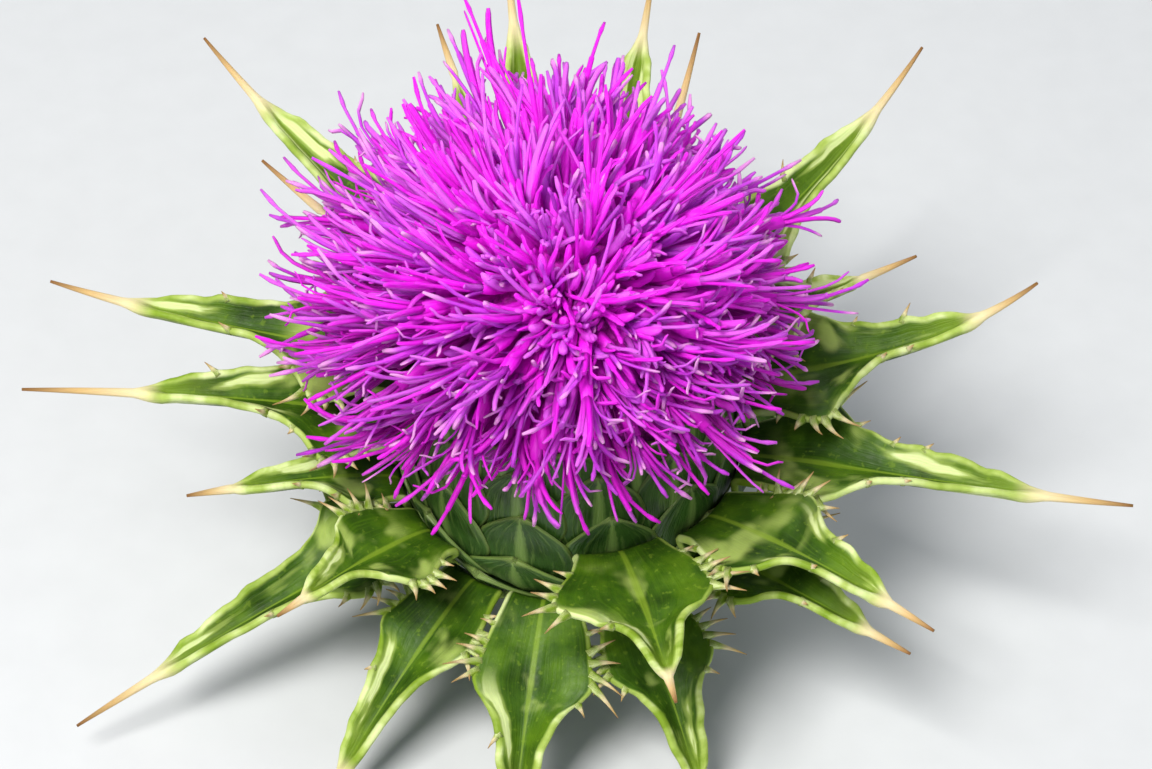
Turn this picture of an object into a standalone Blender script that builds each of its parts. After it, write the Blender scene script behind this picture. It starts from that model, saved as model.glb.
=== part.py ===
"""Thistle flower head, as picked: a magenta tuft of florets in a green cup of spiny bracts.

The head stands by itself, tuft up, on the spine tips of its drooping lower bracts, and the cut stalk
hangs clear of the surface. The flower's axis is the world's Z axis while the pieces are made, and the
last step slides them together until the middle of the whole box is over the origin.
Sizes are in millimetres and angles in degrees; a mesh gets its metres where its points are placed.
"""

import math
import random
from typing import NamedTuple

import bmesh
import bpy
from mathutils import Matrix, Vector
from mathutils.bvhtree import BVHTree

MM = 0.001
GAP = 0.35  # air between pieces that touch on the real head

# The involucre, the green cup under the florets.
CUP_BASE_Z, CUP_BELLY_Z, CUP_RIM_Z = 8.0, 20.5, 34.5
CUP_NECK_R, CUP_BELLY_R, CUP_MOUTH_R = 4.2, 16.0, 14.6
CUP_WALL = 1.8
CUP_FLOOR_Z = 31.0  # the receptacle, on which the florets stand
OUTER_ROWS = 8

# Blades: every bract is one blade, appressed to the cup as a claw and then spreading.
BLADE = 0.8
CLAW_RISE = BLADE / 2 + GAP  # how far the claws' middle surface stands off the cup's wall
BEND_RISE = 1.2  # how far a blade still rises along the cup as it bends
CLAW_ROWS = ((0.0, 2.6), (0.5, 4.0), (1.0, 4.4))  # (share of the claw's height, half width)
# (distance past the bend, half width): the widest row is the spiny arm on each side of the shoulder
SHOULDER_ROWS = ((1.4, 4.6), (4.2, 5.3), (6.7, 8.2), (8.2, 4.9), (9.5, 4.5))
SHOULDER_LENGTH = 9.5
# (share of the blade past the shoulder, half width)
BLADE_ROWS = ((0.12, 3.5), (0.28, 2.6), (0.50, 1.9), (0.70, 0.7), (1.0, 0.18))
CHANNEL_DEPTH = 0.45  # how far the margins rise over the middle, as a share of the half width
CHANNEL_REACH = 3.4  # the half width past which the margins rise no further
WRAP_END = 9.0  # how far past the bend a blade still curves round the cup
SPINE_START = 0.64  # share of the blade past the shoulder from which it thins to a round spine
SPINE_THINNING = 0.6  # the share of a blade's thickness that is gone at the tip of its spine
CURVE_STEPS = 48
NEAR_LEVEL = 2.4  # bracts that bend nearer in height than this leave room for each other's shoulders
WIDEST_ROOM = 30.0  # degrees

# The tuft of florets.
TUFT_CENTRE_Z = 34.0
TUFT_RADIUS = 24.8
TUFT_CORE_RADIUS = 14.0
TUFT_LEAN = 0.11  # the share by which the florets are longer towards -X and shorter towards +X
ROOT_DEPTH = 2.0  # how deep a floret's root is sunk in the dome
FLORETS = 300
FLORET_ROOT_R, FLORET_LIMB_R, FLORET_TIP_R = 0.75, 0.9, 0.36
LIMB_SHARE = 0.62  # of a floret's length, where it is widest and where it bends
STRAY_SHARE, STRAY_EXTRA = 0.07, 4.4
FLORET_DROOP = 4  # degrees by which a level floret arches up before it drops
LOWEST_ROOT = 32  # degrees up from the tuft's centre, under which no floret leaves the dome
LOWEST_FLORET = -4  # degrees above the level, seen from the tuft's centre
FLORET_CLEARANCE = 1.15  # between a floret's axis and a bract
CLEARANCE_POINTS = 10
RISES = (0, 2, 4)  # degrees by which a floret lifts over a bract; one that needs more isn't there
TUFT_SEED = 7
DOME_SIDES, DOME_STEP = 24, 18  # sides round the dome, and degrees between its rings
NECK_RISE = 0.6  # how far the tuft's neck stands out of the cup before the dome widens
AZIMUTH_JITTER, ELEVATION_JITTER = 1.5, 1.2  # degrees by which a floret strays from the even spiral
SHORTEST, LONGEST = -1.8, 1.2  # how much shorter or longer than the tuft's radius a floret may be

# The cut stalk.
STALK_CUT_Z = 2.2
STALK_R = 3.3
STALK_RIBS = 10
STALK_GROOVE = 0.9  # the radius in the grooves between ribs, as a share of the radius on them

GREEN = (0.16, 0.30, 0.05)
CUP_GREEN = (0.10, 0.20, 0.04)
STALK_GREEN = (0.24, 0.36, 0.12)
MAGENTA = (0.62, 0.04, 0.58)


class Bract(NamedTuple):
    """One spreading bract: where it bends away from the cup, and where its spine ends.

    Its width is a share of the common widths, its curl the angle by which the blade turns up towards
    its tip, and its claw the height of the part that is pressed to the cup.
    """

    azimuth: float
    bend_z: float
    reach: float
    tip_z: float
    width: float = 1.0
    curl: float = -8.0
    claw: float = 3.6


# Azimuths run anticlockwise from +X, seen from above; the front of the head is at 270 degrees.
LOWER = (
    Bract(21, 15.0, 27, 6, 0.8),
    Bract(55, 14.0, 36, 0),
    Bract(92, 15.0, 39, 0),
    Bract(129, 14.0, 36, 0),
    Bract(162, 15.0, 27, 8, 0.8),
    Bract(205, 14.8, 51, 4, 0.95, -4),
    Bract(232, 13.6, 39.5, 0, 0.9),
    Bract(261, 14.8, 36.5, 0, 1.0),
    Bract(293, 14.0, 34, 0, 0.9),
    Bract(323, 15.6, 38.7, 16.5, 0.9, 0),
)
MIDDLE = (
    Bract(24, 20.5, 27, 21, 0.9),
    Bract(60, 21.5, 31, 22, 0.9),
    Bract(98, 21.0, 47, 44, 1.0, 6),
    Bract(141, 21.0, 31, 26, 1.0, 4),
    Bract(181, 23.0, 51, 28, 1.0, -4, 3.0),
    Bract(191, 18.2, 36.5, 20, 0.7, -4, 2.2),
    Bract(219, 18.8, 34, 19.5, 0.85, -6, 2.6),
    Bract(286, 22.0, 34, 21, 1.0, -12),
    Bract(320, 21.0, 42, 24, 1.0, -6),
    Bract(348, 21.4, 53, 23, 1.0, 4),
)
UPPER = (
    Bract(8, 25.2, 44, 35, 1.0, 26, 3.0),
    Bract(20, 28.5, 35, 33, 0.7, 4, 1.8),
    Bract(45, 26.4, 49, 40, 1.0, 18),
    Bract(65, 31.6, 29, 48.5, 0.45, 8, 1.8),
    Bract(80, 27.5, 49, 39, 1.0, 10),
    Bract(110, 31.6, 38, 42, 0.6, 6, 1.8),
    Bract(135, 28.0, 51, 40, 1.0, 10),
    Bract(151, 31.6, 33, 41.5, 0.5, 6, 1.8),
    Bract(169, 27.3, 50, 32, 1.0, 8, 3.2),
)
# The innermost bracts, which stand round the florets and are one with the cup.
INNER_COUNT, INNER_FIRST = 15, 6.0
INNER_FOOT_Z, INNER_KEEL = 20.0, 0.9
INNER_SINUS, INNER_POINT, INNER_FLARE = 2.0, 1.4, 2.2
RIM_THICKNESS = 0.8


def clear_scene():
    """Removes the objects that the scene starts with."""
    for obj in list(bpy.data.objects):
        bpy.data.objects.remove(obj)


def new_collection(name):
    """A collection linked to the scene."""
    collection = bpy.data.collections.new(name)
    bpy.context.scene.collection.children.link(collection)
    return collection


def plain_material(name, colour, roughness):
    """A Principled material of one colour."""
    material = bpy.data.materials.new(name)
    material.use_nodes = True
    shader = material.node_tree.nodes["Principled BSDF"]
    shader.inputs["Base Color"].default_value = (*colour, 1)
    shader.inputs["Roughness"].default_value = roughness
    shader.inputs["Metallic"].default_value = 0
    return material


def object_from(bm, name, collection, material=None):
    """An object with the bmesh's geometry, its faces shaded smooth but for sharp edges."""
    mesh = bpy.data.meshes.new(name)
    bm.to_mesh(mesh)
    bm.free()
    mesh.shade_smooth()
    mesh.set_sharp_from_angle(angle=math.radians(40))
    if material:
        mesh.materials.append(material)
    obj = bpy.data.objects.new(name, mesh)
    collection.objects.link(obj)
    return obj


def apply_modifiers(obj):
    """Replaces the object's mesh with what its modifiers make of it."""
    bpy.context.view_layer.update()
    graph = bpy.context.evaluated_depsgraph_get()
    baked = bpy.data.meshes.new_from_object(obj.evaluated_get(graph))
    obj.modifiers.clear()
    obj.data = baked


def unite(obj, collection):
    """Joins every object of a collection into obj and removes them."""
    union = obj.modifiers.new("union", "BOOLEAN")
    union.operation = "UNION"
    union.operand_type = "COLLECTION"
    union.collection = collection
    union.solver = "MANIFOLD"
    apply_modifiers(obj)
    for part in list(collection.objects):
        bpy.data.objects.remove(part)
    bpy.data.collections.remove(collection)


def polar(radius, azimuth, z):
    """A point in metres from cylindrical millimetres."""
    turn = math.radians(azimuth)
    return Vector((radius * math.cos(turn), radius * math.sin(turn), z)) * MM


def wall_radius(z):
    """The cup's outer radius at a height: a round bottom, a belly and a slightly drawn-in mouth."""
    if z <= CUP_BELLY_Z:
        down = (CUP_BELLY_Z - z) / (CUP_BELLY_Z - CUP_BASE_Z)
        return CUP_NECK_R + (CUP_BELLY_R - CUP_NECK_R) * math.sqrt(max(0.0, 1 - down**2))
    up = (z - CUP_BELLY_Z) / (CUP_RIM_Z - CUP_BELLY_Z)
    return CUP_MOUTH_R + (CUP_BELLY_R - CUP_MOUTH_R) * math.cos(math.pi / 2 * up) ** 2


def wall_point(z, offset):
    """The point (radius, z) that stands a given distance off the cup's wall, and the wall's direction."""
    step = 0.05
    along = Vector((wall_radius(z + step) - wall_radius(z - step), 2 * step)).normalized()
    outward = Vector((along.y, -along.x))
    return Vector((wall_radius(z), z)) + outward * offset, along


def bezier(p0, p1, p2, p3, t):
    """A point on a cubic Bezier curve."""
    s = 1 - t
    return p0 * s**3 + p1 * (3 * s * s * t) + p2 * (3 * s * t * t) + p3 * t**3


class Station(NamedTuple):
    """One row of a blade, at a place in the radial plane."""

    middle: Vector
    half_width: float
    travelled: float  # the distance past the bend, and 0 on the claw
    spine: float  # how far along the spine: 0 before it and 1 at the tip


def spreading_curve(bract, start, along):
    """Points along the middle of a bract from its bend to its tip, each with the distance travelled."""
    tip = Vector((bract.reach, bract.tip_z))
    lift = start + along * BEND_RISE
    turn = math.radians(bract.curl)
    heading = (tip - lift).normalized()
    end_heading = Vector(
        (
            heading.x * math.cos(turn) - heading.y * math.sin(turn),
            heading.x * math.sin(turn) + heading.y * math.cos(turn),
        )
    )
    before_tip = tip - end_heading * (tip - start).length * 0.5
    curve = [(start, 0.0)]
    for i in range(1, CURVE_STEPS + 1):
        point = bezier(start, lift, before_tip, tip, i / CURVE_STEPS)
        curve.append((point, curve[-1][1] + (point - curve[-1][0]).length))
    return curve


def point_at(curve, distance):
    """The point on a curve that lies a distance along it."""
    for (point, before), (following, after) in zip(curve, curve[1:]):
        if distance <= after:
            return point.lerp(following, (distance - before) / (after - before))
    return curve[-1][0]


def bract_stations(bract):
    """The rows of a bract's blade, from the foot of its claw to the tip of its spine."""
    stations = []
    for share, width in CLAW_ROWS:
        point, along = wall_point(bract.bend_z - bract.claw * (1 - share), CLAW_RISE)
        stations.append(Station(point, width * bract.width, 0.0, 0.0))
    curve = spreading_curve(bract, point, along)
    size = min(1.0, bract.width)
    for distance, width in SHOULDER_ROWS:
        middle = point_at(curve, distance * size)
        stations.append(Station(middle, width * bract.width, distance * size, 0.0))
    shoulder = SHOULDER_LENGTH * size
    for share, width in BLADE_ROWS:
        distance = shoulder + (curve[-1][1] - shoulder) * share
        spine = max(0.0, (share - SPINE_START) / (1 - SPINE_START))
        stations.append(Station(point_at(curve, distance), width * bract.width, distance, spine))
    return stations


def room(bract, side):
    """Half the angle to the next bract of a like height on a side, so that their shoulders nearly meet."""
    free = WIDEST_ROOM
    for other in (*LOWER, *MIDDLE, *UPPER):
        away = side * (other.azimuth - bract.azimuth) % 360
        if 0 < away and abs(other.bend_z - bract.bend_z) < NEAR_LEVEL:
            free = min(free, away / 2)
    return free


def blade_point(stations, row, side, bract):
    """Where the row's middle (side 0) or margin (side -1 or 1) stands, for a bract that points to +X.

    A claw wraps round the cup. Past the bend the blade flattens into a channel whose margins rise.
    """
    station = stations[row]
    before = stations[max(row - 1, 0)].middle
    after = stations[min(row + 1, len(stations) - 1)].middle
    along = (after - before).normalized()
    up = Vector((-along.y, along.x))
    opening = min(1.0, station.travelled / WRAP_END)
    reach = 0.0
    if side:
        free = math.radians(room(bract, side)) * station.middle.x - GAP
        reach = min(station.half_width, free) * side
    lifted = station.middle + up * min(abs(reach), CHANNEL_REACH) * CHANNEL_DEPTH * opening
    wrapped = polar(lifted.x, math.degrees(reach / station.middle.x), lifted.y)
    flat = Vector((lifted.x, reach, lifted.y)) * MM
    return wrapped.lerp(flat, opening)


def blade_object(name, bract, collection, material):
    """A bract as one closed blade: a grid laid along its rows and given its thickness."""
    stations = bract_stations(bract)
    rows = len(stations) - 1
    bm = bmesh.new()
    bmesh.ops.create_grid(bm, x_segments=rows, y_segments=2, size=1)
    row_of = {}
    for vert in bm.verts:
        row = round((vert.co.x + 1) / 2 * rows)
        row_of[vert.index] = row
        vert.co = blade_point(stations, row, round(vert.co.y), bract)
    bmesh.ops.recalc_face_normals(bm, faces=bm.faces)
    bmesh.ops.triangulate(bm, faces=bm.faces)
    obj = object_from(bm, name, collection, material)
    obj.rotation_euler.z = math.radians(bract.azimuth)
    thickness = obj.vertex_groups.new(name="thickness")
    for index, row in row_of.items():
        thickness.add([index], 1 - SPINE_THINNING * stations[row].spine, "REPLACE")
    solidify = obj.modifiers.new("thickness", "SOLIDIFY")
    solidify.thickness = BLADE * MM
    solidify.offset = 0
    solidify.vertex_group = thickness.name
    return obj


def make_bracts(whorl, bracts, collection, material):
    """Every bract of a whorl as its own object, numbered by azimuth."""
    return [
        blade_object(f"{whorl}_bract_{i:02d}", bract, collection, material)
        for i, bract in enumerate(bracts, 1)
    ]


def turned_object(name, profile, sides, collection, material):
    """A solid of revolution about Z from a profile of (radius, z), run down its outer side."""
    bm = bmesh.new()
    verts = [bm.verts.new((radius * MM, 0, z * MM)) for radius, z in profile]
    for a, b in zip(verts, verts[1:]):
        bm.edges.new((a, b))
    obj = object_from(bm, name, collection, material)
    screw = obj.modifiers.new("turn", "SCREW")
    screw.steps = screw.render_steps = sides
    screw.use_merge_vertices = True
    screw.merge_threshold = 0.00001
    return obj


def inner_bract_share(azimuth):
    """How near an azimuth is to the middle of its inner bract: 1 on the midrib, 0 between two."""
    place = (azimuth - INNER_FIRST) / 360 * INNER_COUNT
    return 1 - 2 * abs(place - round(place))


def raise_inner_bracts(bm):
    """Gives the turned cup its ring of inner bracts: keeled outside, and pointed and flared at the rim."""
    for vert in bm.verts:
        radius, z = math.hypot(vert.co.x, vert.co.y) / MM, vert.co.z / MM
        azimuth = math.degrees(math.atan2(vert.co.y, vert.co.x))
        share = inner_bract_share(azimuth)
        outside = radius > CUP_MOUTH_R - CUP_WALL / 2
        if outside and INNER_FOOT_Z < z:
            grown = min(1.0, (z - INNER_FOOT_Z) / (CUP_RIM_Z - INNER_FOOT_Z))
            radius -= INNER_KEEL * grown * (1 - share)
        if z > CUP_RIM_Z - INNER_SINUS - 0.1:
            height = (z - CUP_RIM_Z + INNER_SINUS) / INNER_SINUS
            z += height * (INNER_POINT * share - INNER_SINUS * (1 - share))
            radius += height * INNER_FLARE * share
        vert.co = polar(radius, azimuth, z)


def make_involucre(collection, material):
    """The cup with its recess for the florets, and the ring of inner bracts grown onto it."""
    inside_r = CUP_MOUTH_R - CUP_WALL
    profile = [(0, CUP_FLOOR_Z), (inside_r, CUP_FLOOR_Z), (inside_r, CUP_RIM_Z - INNER_SINUS)]
    profile += [(CUP_MOUTH_R - RIM_THICKNESS, CUP_RIM_Z), (CUP_MOUTH_R, CUP_RIM_Z)]
    sinus_z = CUP_RIM_Z - INNER_SINUS
    for i in range(OUTER_ROWS + 1):
        share = i / OUTER_ROWS
        z = sinus_z + (CUP_BASE_Z - sinus_z) * math.sin(math.pi / 2 * share)
        profile.append((wall_radius(z), z))
    profile.append((0, CUP_BASE_Z))
    cup = turned_object("involucre", profile, INNER_COUNT * 2, collection, material)
    apply_modifiers(cup)
    turn = Matrix.Rotation(math.radians(INNER_FIRST), 4, "Z")
    cup.data.transform(turn)
    bm = bmesh.new()
    bm.from_mesh(cup.data)
    raise_inner_bracts(bm)
    bmesh.ops.triangulate(bm, faces=bm.faces)
    bm.to_mesh(cup.data)
    bm.free()
    return cup


def core_point(elevation):
    """A point (radius, z) on the dome that the florets stand out of."""
    turn = math.radians(elevation)
    return TUFT_CORE_RADIUS * math.cos(turn), TUFT_CENTRE_Z + TUFT_CORE_RADIUS * math.sin(turn)


def surface_trees(objects):
    """For each object, a search tree of its surface and the matrix that takes a point to its space."""
    bpy.context.view_layer.update()
    graph = bpy.context.evaluated_depsgraph_get()
    return [(BVHTree.FromObject(obj, graph), obj.matrix_world.inverted()) for obj in objects]


def is_clear(path, trees):
    """Whether a floret on this path keeps its distance from every surface."""
    root, limb, tip = path
    for i in range(1, CLEARANCE_POINTS + 1):
        share = i / CLEARANCE_POINTS
        if share < LIMB_SHARE:
            point = root.lerp(limb, share / LIMB_SHARE)
        else:
            point = limb.lerp(tip, (share - LIMB_SHARE) / (1 - LIMB_SHARE))
        for tree, to_local in trees:
            if tree.find_nearest(to_local @ (point * MM), FLORET_CLEARANCE * MM)[0] is not None:
                return False
    return True


def floret_template():
    """A three-sided rod from z 0 to z 1: a slim tube, widest at its limb, with a fine tip."""
    bm = bmesh.new()
    bmesh.ops.create_cone(
        bm, cap_ends=True, segments=3, radius1=FLORET_ROOT_R, radius2=FLORET_TIP_R, depth=1
    )
    bmesh.ops.translate(bm, verts=bm.verts, vec=(0, 0, 0.5))
    whole = bm.verts[:] + bm.edges[:] + bm.faces[:]
    bmesh.ops.bisect_plane(bm, geom=whole, plane_co=(0, 0, LIMB_SHARE), plane_no=(0, 0, 1))
    for vert in bm.verts:
        if abs(vert.co.z - LIMB_SHARE) < 0.01:
            widen = FLORET_LIMB_R / math.hypot(vert.co.x, vert.co.y)
            vert.co.x *= widen
            vert.co.y *= widen
    bmesh.ops.triangulate(bm, faces=bm.faces)
    mesh = bpy.data.meshes.new("floret_rod")
    bm.to_mesh(mesh)
    bm.free()
    return mesh


def tuft_point(azimuth, elevation, reach):
    """A point in millimetres at a distance from the tuft's centre."""
    lean = math.radians(elevation)
    out, z = reach * math.cos(lean), TUFT_CENTRE_Z + reach * math.sin(lean)
    return polar(out, azimuth, z) / MM


def floret_path(azimuth, elevation, reach):
    """The points that a floret passes through at its root, limb and tip.

    Its root is inside the dome, and the lowest florets first rise over the cup's rim.
    """
    root = max(elevation, LOWEST_ROOT)
    limb = elevation + (root - elevation) * (1 - LIMB_SHARE)
    limb += FLORET_DROOP * math.cos(math.radians(elevation)) ** 2
    root_reach = TUFT_CORE_RADIUS - ROOT_DEPTH
    limb_reach = root_reach + (reach - root_reach) * LIMB_SHARE
    return (
        tuft_point(azimuth, root, root_reach),
        tuft_point(azimuth, limb, limb_reach),
        tuft_point(azimuth, elevation, reach),
    )


def add_floret(name, template, path, roll, collection):
    """One rod of the tuft, laid along its path."""
    mesh = template.copy()
    root, limb, tip = path
    axis = (tip - root).normalized()
    side = axis.orthogonal().normalized()
    other = axis.cross(side)
    for vert in mesh.vertices:
        x, y, share = vert.co
        if share < LIMB_SHARE:
            middle = root.lerp(limb, share / LIMB_SHARE)
        else:
            middle = limb.lerp(tip, (share - LIMB_SHARE) / (1 - LIMB_SHARE))
        turned_x = x * math.cos(roll) - y * math.sin(roll)
        turned_y = x * math.sin(roll) + y * math.cos(roll)
        vert.co = (middle + side * turned_x + other * turned_y) * MM
    collection.objects.link(bpy.data.objects.new(name, mesh))


def make_florets(neighbours, collection, material):
    """The tuft: a dome that stands in the cup, and the florets that stand out of it on all sides."""
    neck_r = CUP_MOUTH_R - CUP_WALL - GAP
    profile = [(0, TUFT_CENTRE_Z + TUFT_CORE_RADIUS)]
    profile += [core_point(elevation) for elevation in range(90 - DOME_STEP, DOME_STEP - 1, -DOME_STEP)]
    neck_z, foot_z = CUP_RIM_Z + NECK_RISE, CUP_FLOOR_Z + GAP
    profile += [(neck_r, neck_z), (neck_r, foot_z), (0, foot_z)]
    core = turned_object("florets", profile, DOME_SIDES, collection, material)
    apply_modifiers(core)
    draw = random.Random(TUFT_SEED)
    rods = new_collection("floret_rods")
    template = floret_template()
    golden = 180 * (3 - math.sqrt(5))
    lowest_sine = math.sin(math.radians(LOWEST_FLORET))
    trees = surface_trees(neighbours)
    for i in range(FLORETS):
        azimuth = (i * golden + draw.uniform(-AZIMUTH_JITTER, AZIMUTH_JITTER)) % 360
        sine = 1 - (1 - lowest_sine) * (i + 0.5) / FLORETS
        elevation = math.degrees(math.asin(sine))
        elevation += draw.uniform(-ELEVATION_JITTER, ELEVATION_JITTER)
        reach = TUFT_RADIUS + draw.uniform(SHORTEST, LONGEST)
        reach *= 1 - TUFT_LEAN * math.cos(math.radians(azimuth))
        if draw.random() < STRAY_SHARE:
            reach += STRAY_EXTRA
        roll = draw.uniform(0, math.tau)
        for rise in RISES:
            path = floret_path(azimuth, elevation + rise, reach)
            if is_clear(path, trees):
                add_floret(f"rod_{i:03d}", template, path, roll, rods)
                break
    unite(core, rods)
    return core


def make_stalk(collection, material):
    """The cut stub of the ribbed stalk under the cup."""
    bm = bmesh.new()
    sides = STALK_RIBS * 2
    top_z = CUP_BASE_Z - GAP
    bmesh.ops.create_cone(
        bm,
        cap_ends=True,
        segments=sides,
        radius1=STALK_R * MM,
        radius2=CUP_NECK_R * MM,
        depth=(top_z - STALK_CUT_Z) * MM,
    )
    bmesh.ops.translate(bm, verts=bm.verts, vec=(0, 0, (top_z + STALK_CUT_Z) / 2 * MM))
    for vert in bm.verts:
        rib = round(math.atan2(vert.co.y, vert.co.x) / math.tau * sides)
        if rib % 2 == 0:
            vert.co.x *= STALK_GROOVE
            vert.co.y *= STALK_GROOVE
    return object_from(bm, "stalk", collection, material)


def slide_over_origin(objects, collection):
    """Parents every piece to an empty that holds the box's middle over the origin and its foot at z 0."""
    bpy.context.view_layer.update()
    graph = bpy.context.evaluated_depsgraph_get()
    corners = []
    for obj in objects:
        mesh = obj.evaluated_get(graph).to_mesh()
        corners += [obj.matrix_world @ vert.co for vert in mesh.vertices]
    low = Vector([min(c[axis] for c in corners) for axis in range(3)])
    high = Vector([max(c[axis] for c in corners) for axis in range(3)])
    head = bpy.data.objects.new("thistle_head", None)
    collection.objects.link(head)
    head.location = (-(low.x + high.x) / 2, -(low.y + high.y) / 2, -low.z)
    for obj in objects:
        obj.parent = head


def main():
    """Builds the whole flower head."""
    clear_scene()
    head = new_collection("thistle_flower")
    green = plain_material("bract_green", GREEN, 0.45)
    cup_green = plain_material("involucre_green", CUP_GREEN, 0.45)
    stalk_green = plain_material("stalk_green", STALK_GREEN, 0.55)
    magenta = plain_material("floret_magenta", MAGENTA, 0.5)
    pieces = [make_stalk(head, stalk_green), make_involucre(head, cup_green)]
    pieces += make_bracts("lower", LOWER, head, green)
    pieces += make_bracts("middle", MIDDLE, head, green)
    pieces += make_bracts("upper", UPPER, head, green)
    pieces.append(make_florets(pieces, head, magenta))
    slide_over_origin(pieces, head)


main()
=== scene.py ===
"""The finished thistle flower head: a magenta tuft of florets in a green, spiny involucre.

Every form is worked out in millimetres about the flower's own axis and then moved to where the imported
solids stand. Azimuths run anticlockwise from +X, seen from above, so the front of the head is at 270
degrees. A long form starts as a closed rod, whose rings are then laid along the form's own path.
"""

import logging
import math
from dataclasses import dataclass, field, fields
from enum import Enum
from typing import Sequence

import bmesh
import bpy
import numpy as np
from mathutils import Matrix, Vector
from mathutils.bvhtree import BVHTree


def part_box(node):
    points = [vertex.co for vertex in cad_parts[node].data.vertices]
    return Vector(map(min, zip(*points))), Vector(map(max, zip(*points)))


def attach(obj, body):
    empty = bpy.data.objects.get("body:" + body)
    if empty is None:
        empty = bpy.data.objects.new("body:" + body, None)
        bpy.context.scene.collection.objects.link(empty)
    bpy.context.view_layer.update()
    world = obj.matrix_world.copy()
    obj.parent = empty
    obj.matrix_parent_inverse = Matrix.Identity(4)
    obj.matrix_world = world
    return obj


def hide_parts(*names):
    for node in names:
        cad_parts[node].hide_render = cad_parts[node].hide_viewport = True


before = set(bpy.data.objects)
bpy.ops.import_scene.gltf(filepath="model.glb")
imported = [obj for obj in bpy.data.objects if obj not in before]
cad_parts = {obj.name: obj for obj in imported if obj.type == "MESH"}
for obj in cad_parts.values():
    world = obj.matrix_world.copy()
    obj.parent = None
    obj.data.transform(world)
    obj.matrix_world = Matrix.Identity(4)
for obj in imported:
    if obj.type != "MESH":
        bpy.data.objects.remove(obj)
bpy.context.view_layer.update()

MM = 0.001
ROOT_BODY = "root"
LOG = logging.getLogger("thistle")

Array = np.ndarray
Pair = tuple[float, float]
Colour = tuple[float, float, float]
Fade = tuple[float, ...]  # where a mask starts and ends, and its values there if not 0 and 1
Socket = bpy.types.NodeSocket

EDGE_UNIT = 0.1  # the kind map holds the distance to the edge in centimetres
SPREAD = 0.618  # steps of this share, with whole turns left out, spread evenly over 0 to 1


# ---------------------------------------------------------------------------------------------------
# Shared shapes
# ---------------------------------------------------------------------------------------------------


def smooth(share: Array) -> Array:
    """A share clipped to 0..1 and eased at both ends."""
    clipped = np.clip(share, 0.0, 1.0)
    return clipped * clipped * (3 - 2 * clipped)


def unit(vectors: Array) -> Array:
    """Vectors, on the last axis, brought to a length of 1."""
    return vectors / np.maximum(np.linalg.norm(vectors, axis=-1, keepdims=True), 1e-9)


def joined(*values: Array) -> Array:
    """Arrays of single values, joined into one array of vectors."""
    return np.stack(values, axis=-1)


def polar(radius: Array, angle: Array, z: Array) -> Array:
    """Points at a radius, an angle in radians and a height about the flower's axis."""
    return joined(radius * np.cos(angle), radius * np.sin(angle), z)


def turned(points: Array, degrees: float) -> Array:
    """Points turned about the flower's axis.

    Args:
        points: Points, with x, y and z on the last axis.
        degrees: The angle, anticlockwise from above.

    Returns:
        The turned points.
    """
    c, s = math.cos(math.radians(degrees)), math.sin(math.radians(degrees))
    x, y, z = points[..., 0], points[..., 1], points[..., 2]
    return joined(x * c - y * s, x * s + y * c, z)


def soft_least(first: Array, second: Array, corner: float) -> Array:
    """The lesser of two values, with the corner between them rounded over that reach."""
    near = np.clip(corner - np.abs(first - second), 0, None) / corner
    return np.minimum(first, second) - near**2 * corner / 4


def dome_spread(count: int, lowest: float) -> tuple[Array, Array]:
    """Directions spread evenly over a dome, each a golden angle round from the one above it.

    Args:
        count: How many there are.
        lowest: The lowest elevation, in degrees.

    Returns:
        Their azimuths and elevations, in degrees.
    """
    i = np.arange(count)
    low = math.sin(math.radians(lowest))
    return i * 180 * (3 - math.sqrt(5)), np.degrees(np.arcsin(1 - (1 - low) * (i + 0.5) / count))


def monotone(keys: Sequence[Pair], at: Array) -> Array:
    """A curve through keys that never swings past them.

    Args:
        keys: (place, value) pairs, by rising place.
        at: The places to read.

    Returns:
        The curve's values there.
    """
    x, y = (np.array(column, float) for column in zip(*keys))
    step, slope = np.diff(x), np.diff(y) / np.diff(x)
    tangent = np.zeros_like(x)
    same_sign = slope[:-1] * slope[1:] > 0
    blend = 2 * slope[:-1] * slope[1:] / np.where(same_sign, slope[:-1] + slope[1:], 1.0)
    tangent[1:-1] = np.where(same_sign, blend, 0.0)
    tangent[0], tangent[-1] = slope[0], slope[-1]
    at = np.clip(at, x[0], x[-1])
    i = np.clip(np.searchsorted(x, at, side="right") - 1, 0, len(step) - 1)
    t = (at - x[i]) / step[i]
    rise = (2 * t**3 - 3 * t**2 + 1) * y[i] + (3 * t**2 - 2 * t**3) * y[i + 1]
    lean = (t**3 - 2 * t**2 + t) * tangent[i] + (t**3 - t**2) * tangent[i + 1]
    return rise + lean * step[i]


def as_mesh(bm: bmesh.types.BMesh, name: str) -> bpy.types.Mesh:
    """Makes a mesh of a bmesh, which is then freed.

    Args:
        bm: The bmesh.
        name: The mesh's name.

    Returns:
        The mesh.
    """
    mesh = bpy.data.meshes.new(name)
    bm.to_mesh(mesh)
    bm.free()
    return mesh


def staged(name: str, data: bpy.types.ID) -> bpy.types.Object:
    """Puts a new object in the scene.

    Args:
        name: Its name.
        data: Its mesh, light or camera.

    Returns:
        The object.
    """
    made = bpy.data.objects.new(name, data)
    bpy.context.scene.collection.objects.link(made)
    return made


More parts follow.
